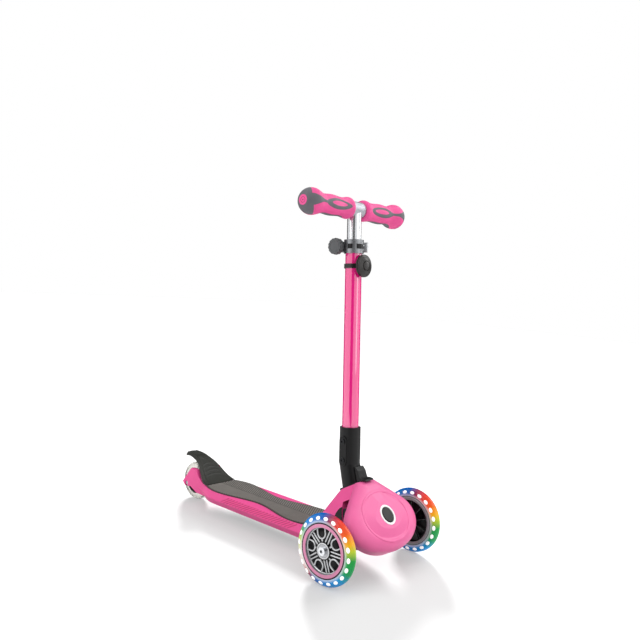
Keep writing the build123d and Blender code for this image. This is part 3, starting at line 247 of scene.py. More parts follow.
def glow_surface(name, centre, hub_r, tyre_r):
    """Clear cast tyre lit from inside: colours by angle round the axle, paler towards the hub."""
    made = surface(name, WHITE, glow_rough, Specular_IOR_Level=glow_specular)
    tree = made.node_tree
    shader = tree.nodes["Principled BSDF"]
    place = tree.nodes.new("ShaderNodeTexCoord")
    offset = node(tree, "ShaderNodeMapping", Location=-centre)
    parts = tree.nodes.new("ShaderNodeSeparateXYZ")
    tree.links.new(place.outputs["Object"], offset.inputs["Vector"])
    tree.links.new(offset.outputs["Vector"], parts.inputs["Vector"])
    front = calc(tree, "MULTIPLY", parts.outputs["Y"], -1.0)
    angle = calc(tree, "ARCTAN2", parts.outputs["Z"], front)
    share = calc(tree, "FRACT", calc(tree, "MULTIPLY_ADD", angle, 1 / TURN, 1.0))
    colours = ramp(tree, share, [(at, linear(code)) for at, code in GLOW])
    flat = tree.nodes.new("ShaderNodeCombineXYZ")
    for way in ("Y", "Z"):
        tree.links.new(parts.outputs[way], flat.inputs[way])
    away = tree.nodes.new("ShaderNodeVectorMath")
    away.operation = "LENGTH"
    tree.links.new(flat.outputs["Vector"], away.inputs[0])
    fade = map_range(tree, away.outputs["Value"], From_Min=hub_r, To_Min=glow_pale, To_Max=0.0)
    fade.inputs["From Max"].default_value = hub_r + glow_fade * (tyre_r - hub_r)
    fade.interpolation_type = "SMOOTHSTEP"
    glow = mix(tree, fade.outputs["Result"], colours, linear(PALE_GLOW))
    for use in ("Base Color", "Emission Color"):
        tree.links.new(glow, shader.inputs[use])
    shader.inputs["Emission Strength"].default_value = glow_strength
    return made


def two_tone(name, first, second, attribute, rough):
    """Two moulded colours in one piece, told apart by a value kept on its points."""
    made = surface(name, first, rough, bump=tone_bump, grain=tone_grain)
    tree = made.node_tree
    base = tree.nodes["Principled BSDF"].inputs["Base Color"]
    ground = base.links[0].from_socket
    inlay_tint = mottled(tree, second, tone_mottle, tone_scale, tone_detail)
    mask = tree.nodes.new("ShaderNodeAttribute")
    mask.attribute_name = attribute
    sharp = map_range(tree, mask.outputs["Fac"], From_Min=tone_edge[0], From_Max=tone_edge[1])
    tree.links.new(mix(tree, sharp.outputs["Result"], ground, inlay_tint), base)
    return made


# Finishes: name, colour, roughness, mottle, grain per metre, bump and, where drawn, the stretch of the grain
tube_coat = {"Coat_Weight": 1.0, "Coat_IOR": 2.4, "Coat_Roughness": 0.06, "Specular_IOR_Level": 0.0}
lamp_light = {"Emission_Color": FULL_WHITE, "Emission_Strength": 0.45}
clear_body = {"Transmission_Weight": 0.78, "IOR": 1.45}
pink_plastic = surface("pink_plastic", PINK, 0.45, 0.02, 1500, 0.08, Specular_IOR_Level=0.4)
# The cap's finish, paler than the housing's by painted sheen
cap_plastic_painted_sheen = surface("cap_plastic_painted_sheen", SHEEN_CAP_PINK, 0.42, 0.02, 1500, 0.08, Specular_IOR_Level=0.45)
tube_paint = surface("tube_paint", TUBE_PINK, 0.35, 0.02, 700, 0.02, (12, 12, 1), **tube_coat)
grip_tones = two_tone("grip_tones", GRIP_PINK, GRIP_GREY, "inlay", rough=0.55)
shaded_ridge_pink = surface("shaded_ridge_pink", SHADED_RIDGE_PINK, 0.45, 0.03, 1500, 0.08)
trim_pink = surface("trim_pink", TRIM_PINK, 0.35, 0.03, 1200, 0.05)
plug_pink = surface("plug_pink", PINK, 0.4, 0.03, 1200, 0.06)
plug_dark = surface("plug_dark", PLUG_PINK, 0.45, 0.04, 1200, 0.06)
mat_rubber = surface("mat_rubber", MAT_GREY, 0.7, 0.06, 1600, 0.35, Specular_IOR_Level=0.3)
lit_rib_rubber = surface("lit_rib_rubber", LIT_RIB_GREY, 0.65, 0.05, 1600, 0.3, Specular_IOR_Level=0.3)
fender_plastic = surface("fender_plastic", FENDER_GREY, 0.4, 0.05, 1300, 0.2, Specular_IOR_Level=0.25)
black_nylon = surface("black_nylon", BLACK, 0.38, 0.12, 1300, 0.2, Specular_IOR_Level=0.25)
hub_black = surface("hub_black", BLACK, 0.35, 0.12, 1300, 0.12, Specular_IOR_Level=0.25)
inner_black = surface("inner_black", INNER_BLACK, 0.25, 0.1, 1100, 0.1)
bell_black = surface("bell_black", BELL_BLACK, 0.3, 0.08, 1300, 0.1, Specular_IOR_Level=0.4)
knob_plastic = surface("knob_plastic", KNOB_GREY, 0.5, 0.05, 1300, 0.2)
alloy = surface("alloy", ALLOY_GREY, 0.35, 0.05, 900, 0.08, Metallic=0.85)
bright_alloy = surface("bright_alloy", TUBE_SILVER, 0.2, 0.02, 700, 0.02, (14, 14, 1), Metallic=0.9)
crossbar_alloy_painted_shade = surface("crossbar_alloy_painted_shade", SHADED_CROSSBAR_GREY, 0.38, 0.03, 700, 0.04, Metallic=0.7)
lever_alloy = surface("lever_alloy", LEVER_SILVER, 0.35, 0.03, 900, 0.05, Metallic=0.3)
silver_trim = surface("silver_trim", TRIM_SILVER, 0.3, 0.03, 900, 0.05, Metallic=0.35)
smoke_trim = surface("smoke_trim", SMOKE_GREY, 0.35, 0.04, 900, 0.05, Metallic=0.2)
chrome = surface("chrome", CHROME, 0.1, 0.02, 600, 0.01, Metallic=1.0)
steel = surface("steel", STEEL, 0.32, 0.05, 800, 0.06, Metallic=1.0)
dark_steel = surface("dark_steel", DARK_STEEL, 0.3, 0.08, 800, 0.06, Metallic=0.8)
white_plastic = surface("white_plastic", WHITE, 0.35, 0.02, 1200, 0.05)
acetal = surface("acetal", ACETAL, 0.45, 0.03, 1200, 0.06)
bumper_rubber = surface("bumper_rubber", RUBBER_BLACK, 0.7, 0.08, 1500, 0.3)
lamp_white = surface("lamp_white", LAMP_WHITE, 0.2, 0.01, 900, 0.02, **lamp_light)
clear_cast = surface("clear_cast", CLEAR_TINT, 0.12, 0.02, 500, 0.01, **clear_body)

dressed = {
    pink_plastic: "deck_body front_housing",
    cap_plastic_painted_sheen: "front_cap",
    mat_rubber: "deck_mat",
    fender_plastic: "brake_fender",
    black_nylon: "fold_bracket axle_carrier fold_latch lock_button",
    hub_black: "hub_left hub_right rear_hub",
    knob_plastic: "clamp_knob",
    bell_black: "bell_strap bell_base bell_dome",
    tube_paint: "outer_tube",
    alloy: "clamp_collar",
    chrome: "axle_bolts",
    bright_alloy: "inner_tube",
    # The crossbar's greyer alloy is painted shade
    crossbar_alloy_painted_shade: "crossbar",
    lever_alloy: "clamp_lever",
    steel: "kingpin kingpin_nut fold_pin rear_axle brake_pin brake_spring lock_spring cap_studs "
    "housing_bolts deck_screws bearings_left bearings_right rear_bearings wheel_spacers rear_spacers "
    "clamp_skewer brake_pad deck_plate axle_magnets",
    dark_steel: "bracket_bolts",
    clear_cast: "rear_tyre",
    lamp_white: "light_ring_left light_ring_right",
    trim_pink: "hub_ring_left hub_ring_right",
    plug_pink: "bar_plugs",
    white_plastic: "lock_bezel",
    acetal: "steering_bushes tube_bush",
    bumper_rubber: "steering_bumpers",
}
for finish, names in dressed.items():
    for name in names.split():
        nodes[name].data.materials.clear()
        nodes[name].data.materials.append(finish)


def placed(name, data):
    """A new object in the scene."""
    made = bpy.data.objects.new(name, data)
    bpy.context.scene.collection.objects.link(made)
    return made


def piece(name, points, faces, finish, body, slot, smooth=True):
    """A new mesh piece that rides on a body, in the finish given; the slot is not used."""
    mesh = bpy.data.meshes.new(name)
    mesh.from_pydata([tuple(p) for p in points], [], faces)
    mesh.validate()
    mesh.materials.append(finish)
    made = placed(name, mesh)
    if smooth:
        mesh.shade_smooth()
    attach(made, body)
    return made


def sharpen(made, degrees=35):
    """Keep edges crisp where two faces meet at more than an angle."""
    made.data.set_sharp_from_angle(angle=radians(degrees))


def basis(axis):
    """An axis made one long, and two directions square to it, the first of them level."""
    axis = Vector(axis).normalized()
    first = axis.cross(Vector((0, 0, 1)))
    if first.length < TINY:
        first = Vector((1, 0, 0))
    first.normalize()
    return axis, first, first.cross(axis)


def skin(rows, sides, loop=False):
    """Faces between rows of points, where each row is a ring of them."""
    faces = []
    for i in range(rows if loop else rows - 1):
        here = i * sides
        there = (i + 1) % rows * sides
        for k in range(sides):
            nxt = (k + 1) % sides
            faces.append((here + k, here + nxt, there + nxt, there + k))
    return faces


def end_caps(rows, sides):
    """Faces that close the first and the last of such rows."""
    return [tuple(reversed(range(sides))), tuple(range((rows - 1) * sides, rows * sides))]


def flipped(faces):
    """The same faces, looking the other way."""
    return [face[::-1] for face in faces]


def lathe(profile, centre, axis, steps, turn=TURN, start=0.0):
    """Points and faces of a closed profile of (along, radius) turned about an axis."""
    axis, first, second = basis(axis)
    whole = abs(turn - TURN) < TINY
    rows = steps if whole else steps + 1
    points = []
    for i in range(rows):
        angle = start + turn * i / steps
        out = first * cos(angle) + second * sin(angle)
        points += [centre + axis * a + out * r for a, r in profile]
    faces = skin(rows, len(profile), loop=whole)
    if not whole:
        faces += end_caps(rows, len(profile))
    return points, faces


def tube_along(route, radius, flat=1.0, up=None, sides=8, loop=False):
    """Points and faces of a round or flattened bar along a route, closed at its ends or in a loop."""
    points = []
    count = len(route)
    for i, at in enumerate(route):
        before = route[i - 1] if loop else route[max(i - 1, 0)]
        after = route[(i + 1) % count] if loop else route[min(i + 1, count - 1)]
        ahead = (after - before).normalized()
        lift = (up - ahead * up.dot(ahead)).normalized() if up else basis(ahead)[1]
        across = ahead.cross(lift)
        for k in range(sides):
            angle = TURN * k / sides
            points.append(at + across * (radius * cos(angle)) + lift * (radius * flat * sin(angle)))
    faces = skin(count, sides, loop)
    if not loop:
        faces += end_caps(count, sides)
    return points, faces


def gather(parts):
    """Several (points, faces) pairs as one."""
    points, faces = [], []
    for some_points, some_faces in parts:
        base = len(points)
        points += some_points
        faces += [tuple(base + i for i in face) for face in some_faces]
    return points, faces


def reach(name, centre, axis):
    """Lowest and highest place of a node along an axis, and its greatest distance from it."""
    axis = Vector(axis).normalized()
    offsets = [v.co - centre for v in nodes[name].data.vertices]
    along = [o.dot(axis) for o in offsets]
    away = [(o - axis * a).length for o, a in zip(offsets, along)]
    return min(along), max(along), max(away)


def tree_of(name):
    """A search tree over a node's faces."""
    mesh = nodes[name].data
    return BVHTree.FromPolygons([v.co for v in mesh.vertices], [p.vertices for p in mesh.polygons])


def between(low, high, share):
    """A place from one end to the other, kept just clear of both."""
    end_gap = 0.002
    return low + (high - low) * (end_gap + (1 - 2 * end_gap) * share)


# Front wheels: tyre with its lamps
tyre_share = 0.8
tyre_steps = 160
bead_share = 0.15
crown_steps = 32
glow_lamps = 20
lamp_r = 53.5 * MM
lamp_size = (10.5 * MM, 6.5 * MM, 2.0 * MM)
lamp_sink = 0.5
lamp_rings = 5
lamp_sides = 16

# Front wheels: spoked face and the ribs behind it
spokes = 5
face_x = 4.6 * MM
rim_r = 37 * MM
boss_r = 12.5 * MM
ring_steps = 96
boss_steps = 64
dome_rise = 3.0 * MM
rib_r = 1.2 * MM
rib_tall = 1.2
spoke_half = 2.8 * MM
spoke_points = 9
petal_r = 28 * MM
petal_half = 8.5 * MM
petal_points = 15
petal_leg_points = 4
petal_stout = 1.1
stem_stout = 1.2
inner_rib_r = 1.3 * MM
inner_rib_tall = 2.0
inner_rib_depth = 3.5 * MM
inner_rib_places = (13 * MM, 25 * MM, rim_r)


def tyre_profile(half_width, inner, outer):
    """Section of a cast tyre: straight beads and a round crown."""
    bead = inner + bead_share * (outer - inner)
    section = [(-half_width, inner)]
    for i in range(crown_steps + 1):
        t = pi * i / crown_steps
        section.append((-half_width * cos(t), bead + (outer - bead) * sin(t)))
    section.append((half_width, inner))
    return section


def side_at(r, half_width, inner, outer):
    """How far out a tyre's side lies at a distance from the axle, and how far it leans there."""
    bead = inner + bead_share * (outer - inner)
    rise = max(0.0, (r - bead) / (outer - bead))
    out = half_width * (1 - rise * rise) ** 0.5
    return out, atan2(rise / (outer - bead), out / half_width ** 2)


def lamp(centre, sign, angle, place, lean):
    """One oval lamp lens lying on a tyre's side."""
    axle = Vector((sign, 0, 0))
    radial = Vector((0, -cos(angle), sin(angle)))
    along = Vector((0, sin(angle), cos(angle)))
    out = radial * cos(lean) - axle * sin(lean)
    away = axle * cos(lean) + radial * sin(lean)
    at = centre + radial * lamp_r + axle * place
    length, width, height = lamp_size
    points = []
    for i in range(lamp_rings):
        rise = 0.5 * pi * i / lamp_rings
        spread = cos(rise)
        for k in range(lamp_sides):
            t = TURN * k / lamp_sides
            points.append(
                at
                + along * (length / 2 * spread * cos(t))
                + out * (width / 2 * spread * sin(t))
                + away * (height * (sin(rise) - lamp_sink))
            )
    points.append(at + away * (height * (1 - lamp_sink)))
    faces = skin(lamp_rings, lamp_sides)
    last = (lamp_rings - 1) * lamp_sides
    faces += [(last + k, last + (k + 1) % lamp_sides, len(points) - 1) for k in range(lamp_sides)]
    faces.append(tuple(reversed(range(lamp_sides))))
    return points, faces


def spider_lines(sign, centre):
    """Silver ribs of a front wheel: double spokes and U-shaped petals, on a slight dome."""
    outward = Vector((sign, 0, 0))

    def at(along, aside, turn):
        """A point of the face, along a spoke's or petal's middle line and aside from it."""
        r = hypot(along, aside)
        angle = turn + atan2(aside, along)
        dome = face_x + dome_rise * (1 - r / rim_r)
        return centre + Vector((sign * dome, -r * cos(angle), r * sin(angle)))

    parts = []
    for k in range(spokes):
        spoke = TURN * k / spokes
        petal = spoke + pi / spokes
        for side in (-spoke_half, spoke_half):
            end = (rim_r * rim_r - side * side) ** 0.5
            bar = [at(a, side, spoke) for a in np.linspace(boss_r, end, spoke_points)]
            parts.append(tube_along(bar, rib_r, rib_tall, outward))
        end = (rim_r * rim_r - petal_half * petal_half) ** 0.5
        bow = [at(a, -petal_half, petal) for a in np.linspace(end, petal_r, petal_leg_points)]
        for t in np.linspace(0, pi, petal_points)[1:-1]:
            bow.append(at(petal_r - petal_half * sin(t), -petal_half * cos(t), petal))
        bow += [at(a, petal_half, petal) for a in np.linspace(petal_r, end, petal_leg_points)]
        parts.append(tube_along(bow, rib_r * petal_stout, rib_tall, outward))
        stem = [at(boss_r, 0, petal), at(petal_r - petal_half, 0, petal)]
        parts.append(tube_along(stem, rib_r * stem_stout, up=outward))
    return gather(parts)


def front_wheel(side, sign):
    """Tyre, lamps, spoked face and inner ribs of one front wheel."""
    body = f"front_wheel_{side}"
    centre = Vector(joints[f"front_{side}_spin"]["pos_m"])
    across = Vector((1, 0, 0))
    outward = Vector((sign, 0, 0))
    low, high, tyre_r = reach(f"tyre_{side}", centre, across)
    half_width = tyre_share * (high - low) / 2
    hub_r = reach(f"hub_{side}", centre, across)[2]
    glow = glow_surface(f"glow_{side}", centre, hub_r, tyre_r)
    points, faces = lathe(tyre_profile(half_width, hub_r, tyre_r), centre, across, tyre_steps)
    tyre = piece(f"cast_tyre_{side}", points, faces, glow, body, "clear_tyre")
    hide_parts(f"tyre_{side}")
    lamps = []
    place, lean = side_at(lamp_r, half_width, hub_r, tyre_r)
    for face in (1, -1):
        for k in range(glow_lamps):
            lamps.append(lamp(centre, face, TURN * k / glow_lamps, place, lean))
    piece(f"lamps_{side}", *gather(lamps), lamp_white, body, "light_guide")

    lines = piece(f"spokes_{side}", *spider_lines(sign, centre), silver_trim, body, "silver_trim")
    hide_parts(f"hub_spider_{side}")
    dish = [
        (face_x - 3.0 * MM, rim_r + 1.4 * MM),
        (face_x - 0.7 * MM, rim_r + 1.4 * MM),
        (face_x + 0.8 * MM, rim_r * 0.5),
        (face_x + 1.9 * MM, boss_r - 1.0 * MM),
        (face_x - 3.0 * MM, boss_r - 1.0 * MM),
    ]
    piece(f"hub_face_{side}", *lathe(dish, centre, outward, ring_steps), hub_black, body, "black_plastic")
    rim_ring = [
        (face_x - 2.0 * MM, rim_r - 0.6 * MM),
        (face_x + 0.6 * MM, rim_r - 0.4 * MM),
        (face_x + 1.4 * MM, rim_r + 0.6 * MM),
        (face_x + 1.4 * MM, rim_r + 1.4 * MM),
        (face_x - 2.0 * MM, rim_r + 1.4 * MM),
    ]
    boss = [
        (face_x, boss_r + 1.8 * MM),
        (face_x + 3.6 * MM, boss_r + 1.6 * MM),
        (face_x + 4.6 * MM, boss_r + 0.6 * MM),
        (face_x + 4.6 * MM, boss_r - 1.0 * MM),
        (face_x + 2.4 * MM, boss_r - 2.4 * MM),
        (face_x, boss_r - 2.4 * MM),
    ]
    rings = gather([
        lathe(rim_ring, centre, outward, ring_steps),
        lathe(boss, centre, outward, boss_steps),
    ])
    trim = piece(f"hub_rings_{side}", *rings, silver_trim, body, "silver_trim")
    sharpen(trim)
    trim_x = reach(f"hub_ring_{side}", centre, outward)[1]
    wall = [
        (face_x - 1.0 * MM, rim_r + 1.45 * MM),
        (face_x - 1.0 * MM, rim_r + 0.4 * MM),
        (trim_x - 0.6 * MM, rim_r + 0.9 * MM),
        (trim_x - 0.6 * MM, rim_r + 1.45 * MM),
    ]
    well = lathe(wall, centre, outward, ring_steps)
    sharpen(piece(f"hub_wall_{side}", *well, smoke_trim, body, "silver_trim"))

    inner_face = -reach(f"hub_{side}", centre, outward)[0]
    brim = [
        (-inner_face - 0.5 * MM, rim_r + 2.2 * MM),
        (-inner_face - 0.9 * MM, rim_r + 5.0 * MM),
        (-inner_face - 0.5 * MM, hub_r - 0.6 * MM),
        (-inner_face + 0.6 * MM, hub_r - 0.6 * MM),
        (-inner_face + 0.6 * MM, rim_r + 2.2 * MM),
    ]
    piece(f"inner_brim_{side}", *lathe(brim, centre, outward, ring_steps), smoke_trim, body, "silver_trim")
    ribs = []
    for k in range(2 * spokes):
        angle = pi * (k + 0.5) / spokes
        out = Vector((0, -cos(angle), sin(angle)))
        rib = [centre + out * r - outward * (inner_face - inner_rib_depth) for r in inner_rib_places]
        ribs.append(tube_along(rib, inner_rib_r, inner_rib_tall, outward))
    piece(f"inner_ribs_{side}", *gather(ribs), inner_black, body, "black_plastic")


for side, sign in SIDES:
    front_wheel(side, sign)

# Grips: turned form with the inlay raised a little
grip_steps = 190
grip_sides = 144
grip_sharp = 60
inlay_rise = 0.35 * MM
plug_rings = ((0.2 * MM, 1.3 * MM), (4.4 * MM, 5.2 * MM))
plug_ring_sink = 1.0 * MM
plug_ring_rise = 0.15 * MM
plug_ring_steps = 48

# Their grey inlay, with places along the bar from its middle and angles up from the front
inlay_r = 18 * MM
inlay_blur = 1.0 * MM
cap_start = 120.5 * MM
cap_wave = 14 * MM
cap_turn = radians(15)
tongue_turn = radians(7)
tongue_half = 2.3 * MM
tongue_ends = (88 * MM, 136 * MM)
flare_start = 108 * MM
flare_run = 26 * MM
flare_half = 9 * MM
flare_power = 1.7

# Ovals of it: middle, half length, half width, angle, and how full its ends and sides are
eye_oval = (64 * MM, 35 * MM, 9.6 * MM, radians(6.5), 2.2, 0.7)
hole_oval = (62 * MM, 21 * MM, 4.2 * MM, radians(9.5), 2.2, 0.6)
strip_oval = (72 * MM, 40 * MM, 13 * MM, radians(-106), 3, 0.5)


def outline_of(name, centre, axis, count):
    """Radius of a turned node at evenly spaced places along its axis, as (along, radius) pairs."""
    axis = Vector(axis)
    low, high, away = reach(name, centre, axis)
    tree = tree_of(name)
    side = basis(axis)[1]
    found = []
    for i in range(count):
        along = between(low, high, i / (count - 1))
        start = centre + axis * along + side * (away * 2)
        hit = tree.ray_cast(start, -side)[0]
        found.append((along, (hit - centre - axis * along).length))
    return found


def grey(distance):
    """Share of grey at a distance outside an inlay's edge."""
    return min(1.0, max(0.0, 0.5 - distance / inlay_blur))


def oval(x, angle, middle, length, width, turn, end_power, side_power):
    """Share of grey at a place on a grip from one oval."""
    place = abs(x - middle) / length
    if place >= 1:
        return 0.0
    half = width * (1 - place ** end_power) ** side_power
    return grey(abs(angle - turn) * inlay_r - half)


def inlay(x, angle):
    """Share of grey at a place on a grip: x from the middle, angle up from the front."""
    cap = grey(cap_start + cap_wave * abs(cos(angle - cap_turn)) - x)
    half = tongue_half + flare_half * max(0.0, (x - flare_start) / flare_run) ** flare_power
    aside = abs(angle - tongue_turn) * inlay_r - half
    tongue = grey(max(aside, tongue_ends[0] - x, x - tongue_ends[1]))
    eye = min(oval(x, angle, *eye_oval), 1 - oval(x, angle, *hole_oval))
    return max(cap, tongue, eye, oval(x, angle, *strip_oval))


def grip(side, sign):
    """One moulded grip with its grey inlay, and the rings on its end plug."""
    node_name = f"grip_{side}"
    low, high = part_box("crossbar")
    centre = (low + high) / 2
    outward = Vector((sign, 0, 0))
    points, shares = [], []
    for along, radius in outline_of(node_name, centre, outward, grip_steps):
        for k in range(grip_sides):
            angle = TURN * k / grip_sides - pi
            share = inlay(along, angle)
            r = radius + inlay_rise * share
            points.append(centre + outward * along + Vector((0, -r * cos(angle), r * sin(angle))))
            shares.append(share)
    faces = skin(grip_steps, grip_sides) + end_caps(grip_steps, grip_sides)
    if sign > 0:
        faces = flipped(faces)
    made = piece(f"moulded_grip_{side}", points, faces, grip_tones, "handlebar", "grip_rubber")
    layer = made.data.attributes.new("inlay", "FLOAT", "POINT")
    layer.data.foreach_set("value", shares)
    sharpen(made, grip_sharp)
    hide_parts(node_name)

    plug = reach("bar_plugs", centre, outward)[1]
    rings = []
    for inner, outer in plug_rings:
        ring = [
            (plug - plug_ring_sink, outer),
            (plug + plug_ring_rise, outer),
            (plug + plug_ring_rise, inner),
            (plug - plug_ring_sink, inner),
        ]
        rings.append(lathe(ring, centre, outward, plug_ring_steps))
    piece(f"plug_ring_{side}", *gather(rings), plug_dark, "handlebar", "pink_trim")


for side, sign in SIDES:
    grip(side, sign)

# Bell dome with turned grooves and a centre cap, as shares of its height and radius
bell_profile = [
    (0.0, 0.30),
    (0.0, 0.985),
    (0.10, 1.0),
    (0.22, 0.985),
    (0.26, 0.955),
    (0.34, 0.95),
    (0.50, 0.87),
    (0.66, 0.74),
    (0.64, 0.70),
    (0.70, 0.66),
    (0.80, 0.55),
    (0.85, 0.47),
    (0.66, 0.44),
    (0.66, 0.41),
    (0.92, 0.38),
    (0.98, 0.30),
    (1.0, 0.15),
    (1.0, 0.02),
    (0.70, 0.02),
    (0.70, 0.18),
]
bell_steps = 96
bell_sharp = 40
bell_axis = Vector(joints["bell_twist"]["axis"])
bell_centre = Vector(joints["bell_twist"]["pos_m"])
bell_low, bell_high, bell_r = reach("bell_dome", bell_centre, bell_axis)
bell_section = [(bell_low + (bell_high - bell_low) * a, bell_r * r) for a, r in bell_profile]
bell_mesh = lathe(bell_section, bell_centre, bell_axis, bell_steps)
bell = piece("turned_bell", *bell_mesh, bell_black, "bell_dome", "bell_plastic")
sharpen(bell, bell_sharp)
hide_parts("bell_dome")

# Black insets in the front of the clamp collar; the turning starts at the right and runs round the front
skewer_back = 22 * MM
band_half = 4.3 * MM
band_inner = 17.05 * MM
band_outer = 17.7 * MM
inset_turn = radians(62)
inset_starts = (radians(62), radians(150))
inset_steps = 24
tube_axis = Vector(joints["bar_height"]["axis"])
knob_at = Vector(joints["clamp_knob_turn"]["pos_m"])
collar_centre = Vector((0, knob_at.y, knob_at.z)) - Vector((0, tube_axis.z, -tube_axis.y)) * skewer_back
band = [
    (-band_half, band_inner),
    (-band_half, band_outer),
    (band_half, band_outer),
    (band_half, band_inner),
]
insets = [lathe(band, collar_centre, tube_axis, inset_steps, inset_turn, start) for start in inset_starts]
piece("clamp_band", *gather(insets), black_nylon, "t_bar", "black_plastic", smooth=False)

# Ribs round the clamp's knob and a ring on its face
knob_rib_count = 16
knob_rib_r = 1.3 * MM
knob_rib_sides = 10
knob_rib_share = 0.55
knob_sink = 0.7 * MM
knob_margin = 1.5 * MM
knob_ring_share = 0.72
knob_ring_steps = 48
knob_bead = 0.8 * MM
knob_bead_flat = 0.6
knob_axis = Vector(joints["clamp_knob_turn"]["axis"])
knob_start, knob_end, knob_r = reach("clamp_knob", knob_at, knob_axis)
knob_out, knob_level, knob_lift = basis(knob_axis)


def knob_point(turn, radius, place):
    """A point round the knob's axis, at an angle and a radius, and a place along it."""
    return knob_at + (knob_level * cos(turn) + knob_lift * sin(turn)) * radius + knob_out * place


knob_places = (knob_start + knob_margin, knob_start + (knob_end - knob_start) * knob_rib_share)
knob_parts = []
for k in range(knob_rib_count):
    turn = TURN * k / knob_rib_count
    ends = [knob_point(turn, knob_r - knob_sink, place) for place in knob_places]
    knob_parts.append(tube_along(ends, knob_rib_r, sides=knob_rib_sides))
knob_round = []
for k in range(knob_ring_steps):
    knob_round.append(knob_point(TURN * k / knob_ring_steps, knob_ring_share * knob_r, knob_start))
knob_parts.append(tube_along(knob_round, knob_bead, knob_bead_flat, knob_out, loop=True))
piece("knob_ribs", *gather(knob_parts), knob_plastic, "clamp_knob", "dark_plastic")

# Raised ring round the lock button, lying on the cap's dome
ring_half_width = 59.8 * MM
ring_half_height = 45.2 * MM
ring_r = 2.4 * MM
ring_flat = 0.3
ring_sides = 12
ring_points = 144
ring_cast = 100 * MM
cap_out = -Vector(joints["lock_button_press"]["axis"])
cap_up = Vector((0, cap_out.z, -cap_out.y))
bezel_low, bezel_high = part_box("lock_bezel")
ring_centre = (bezel_low + bezel_high) / 2
cap_tree = tree_of("front_cap")
ring_route = []
for k in range(ring_points):
    t = TURN * k / ring_points
    aside = Vector((1, 0, 0)) * (ring_half_width * cos(t))
    above = ring_centre + aside + cap_up * (ring_half_height * sin(t))
    ring_route.append(cap_tree.ray_cast(above + cap_out * ring_cast, -cap_out)[0])
ring_mesh = tube_along(ring_route, ring_r, ring_flat, cap_out, ring_sides, loop=True)
# The ring takes the cap's pink with its painted sheen
piece("cap_ring", *ring_mesh, cap_plastic_painted_sheen, "deck", "pink_plastic")

# Dark arch on each flank of the housing, where the axle carrier shows behind the cap
flank_r = 57 * MM
flank_skin = 0.4 * MM
flank_slack = 0.05 * MM
arch_depth = 23 * MM
arch_middle = radians(4)
arch_half = radians(37)
arch_rows = 49
arch_least = 0.01
arch_section = ((1, 0), (1, 1), (-1, 1), (-1, 0))
steer_axis = Vector(joints["steering"]["axis"])
steer_axis *= -1 if steer_axis.y > 0 else 1
steer_at = Vector(joints["steering"]["pos_m"])
steer_up = Vector((0, steer_axis.z, -steer_axis.y))
flank_places = []
for vertex in nodes["front_housing"].data.vertices:
    out = vertex.co - steer_at
    rise = out.dot(steer_up)
    if abs(hypot(out.x, rise) - flank_r) < flank_slack and abs(rise) < flank_r / 2:
        flank_places.append(out.dot(steer_axis))
arch_front = max(flank_places)
arches = []
for sign in (1, -1):
    arch_points = []
    for k in range(arch_rows):
        turn = arch_half * (2 * k / (arch_rows - 1) - 1)
        depth = arch_depth * max(arch_least, 1 - (turn / arch_half) ** 2) ** 0.5
        way = Vector((sign * cos(arch_middle + turn), 0, 0)) + steer_up * sin(arch_middle + turn)
        for layer, inward in arch_section:
            out = way * (flank_r + layer * flank_skin)
            arch_points.append(steer_at + out + steer_axis * (arch_front - depth * inward))
    arch_faces = end_caps(arch_rows, len(arch_section)) + skin(arch_rows, len(arch_section))
    arches.append((arch_points, flipped(arch_faces) if sign < 0 else arch_faces))
piece("housing_arches", *gather(arches), black_nylon, "deck", "black_plastic", smooth=False)

# Deck mat with chevron ribs
mat_lip = 2.0 * MM
mat_digits = 5
mat_rib_pitch = 5.2 * MM
mat_rib_width = 2.6 * MM
mat_rib_height = 0.6 * MM
mat_rib_section = ((-0.5, 0.0), (-0.3, 1.0), (0.3, 1.0), (0.5, 0.0))
mat_rib_slope = 0.6
mat_rib_reach = (0.6 * MM, 52 * MM)
mat_rib_tests = 104
mat_rib_least = 5
mat_rib_spare = 10
mat_low, mat_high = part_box("deck_mat")
mat_edge = {}
for vertex in nodes["deck_mat"].data.vertices:
    key = round(vertex.co.y, mat_digits)
    mat_edge[key] = max(mat_edge.get(key, 0.0), abs(vertex.co.x))
mat_y = sorted(mat_edge)
mat_x = [mat_edge[y] for y in mat_y]


def on_mat(x, y):
    """Whether a place lies on the mat and clear of its edge."""
    inside = mat_low.y + mat_lip < y < mat_high.y - mat_lip
    return inside and x < float(np.interp(y, mat_y, mat_x)) - mat_lip


def mat_rib(start, end):
    """A low bar with bevelled top that lies on the mat."""
    along = (end - start).normalized()
    side = Vector((-along.y, along.x, 0))
    points = []
    for at in (start, end):
        for offset, rise in mat_rib_section:
            lifted = Vector((at.x, at.y, mat_high.z + mat_rib_height * rise))
            points.append(lifted + side * (mat_rib_width * offset))
    return points, skin(2, len(mat_rib_section)) + end_caps(2, len(mat_rib_section))


mat_ribs = []
tests = np.linspace(*mat_rib_reach, mat_rib_tests)
mat_rib_count = int((mat_high.y - mat_low.y) / mat_rib_pitch) + 2 * mat_rib_spare
for k in range(mat_rib_count):
    root = mat_low.y + mat_lip + mat_rib_pitch * (k - mat_rib_spare)
    xs = [x for x in tests if on_mat(x, root + mat_rib_slope * x)]
    if len(xs) >= mat_rib_least:
        for sign in (1, -1):
            start, end = (Vector((sign * x, root + mat_rib_slope * x, 0)) for x in (xs[0], xs[-1]))
            mat_ribs.append(mat_rib(start, end))
# The ribs take a lighter grey than the mat as painted light on their tops
piece("mat_ribs", *gather(mat_ribs), lit_rib_rubber, "deck", "grey_rubber", smooth=False)

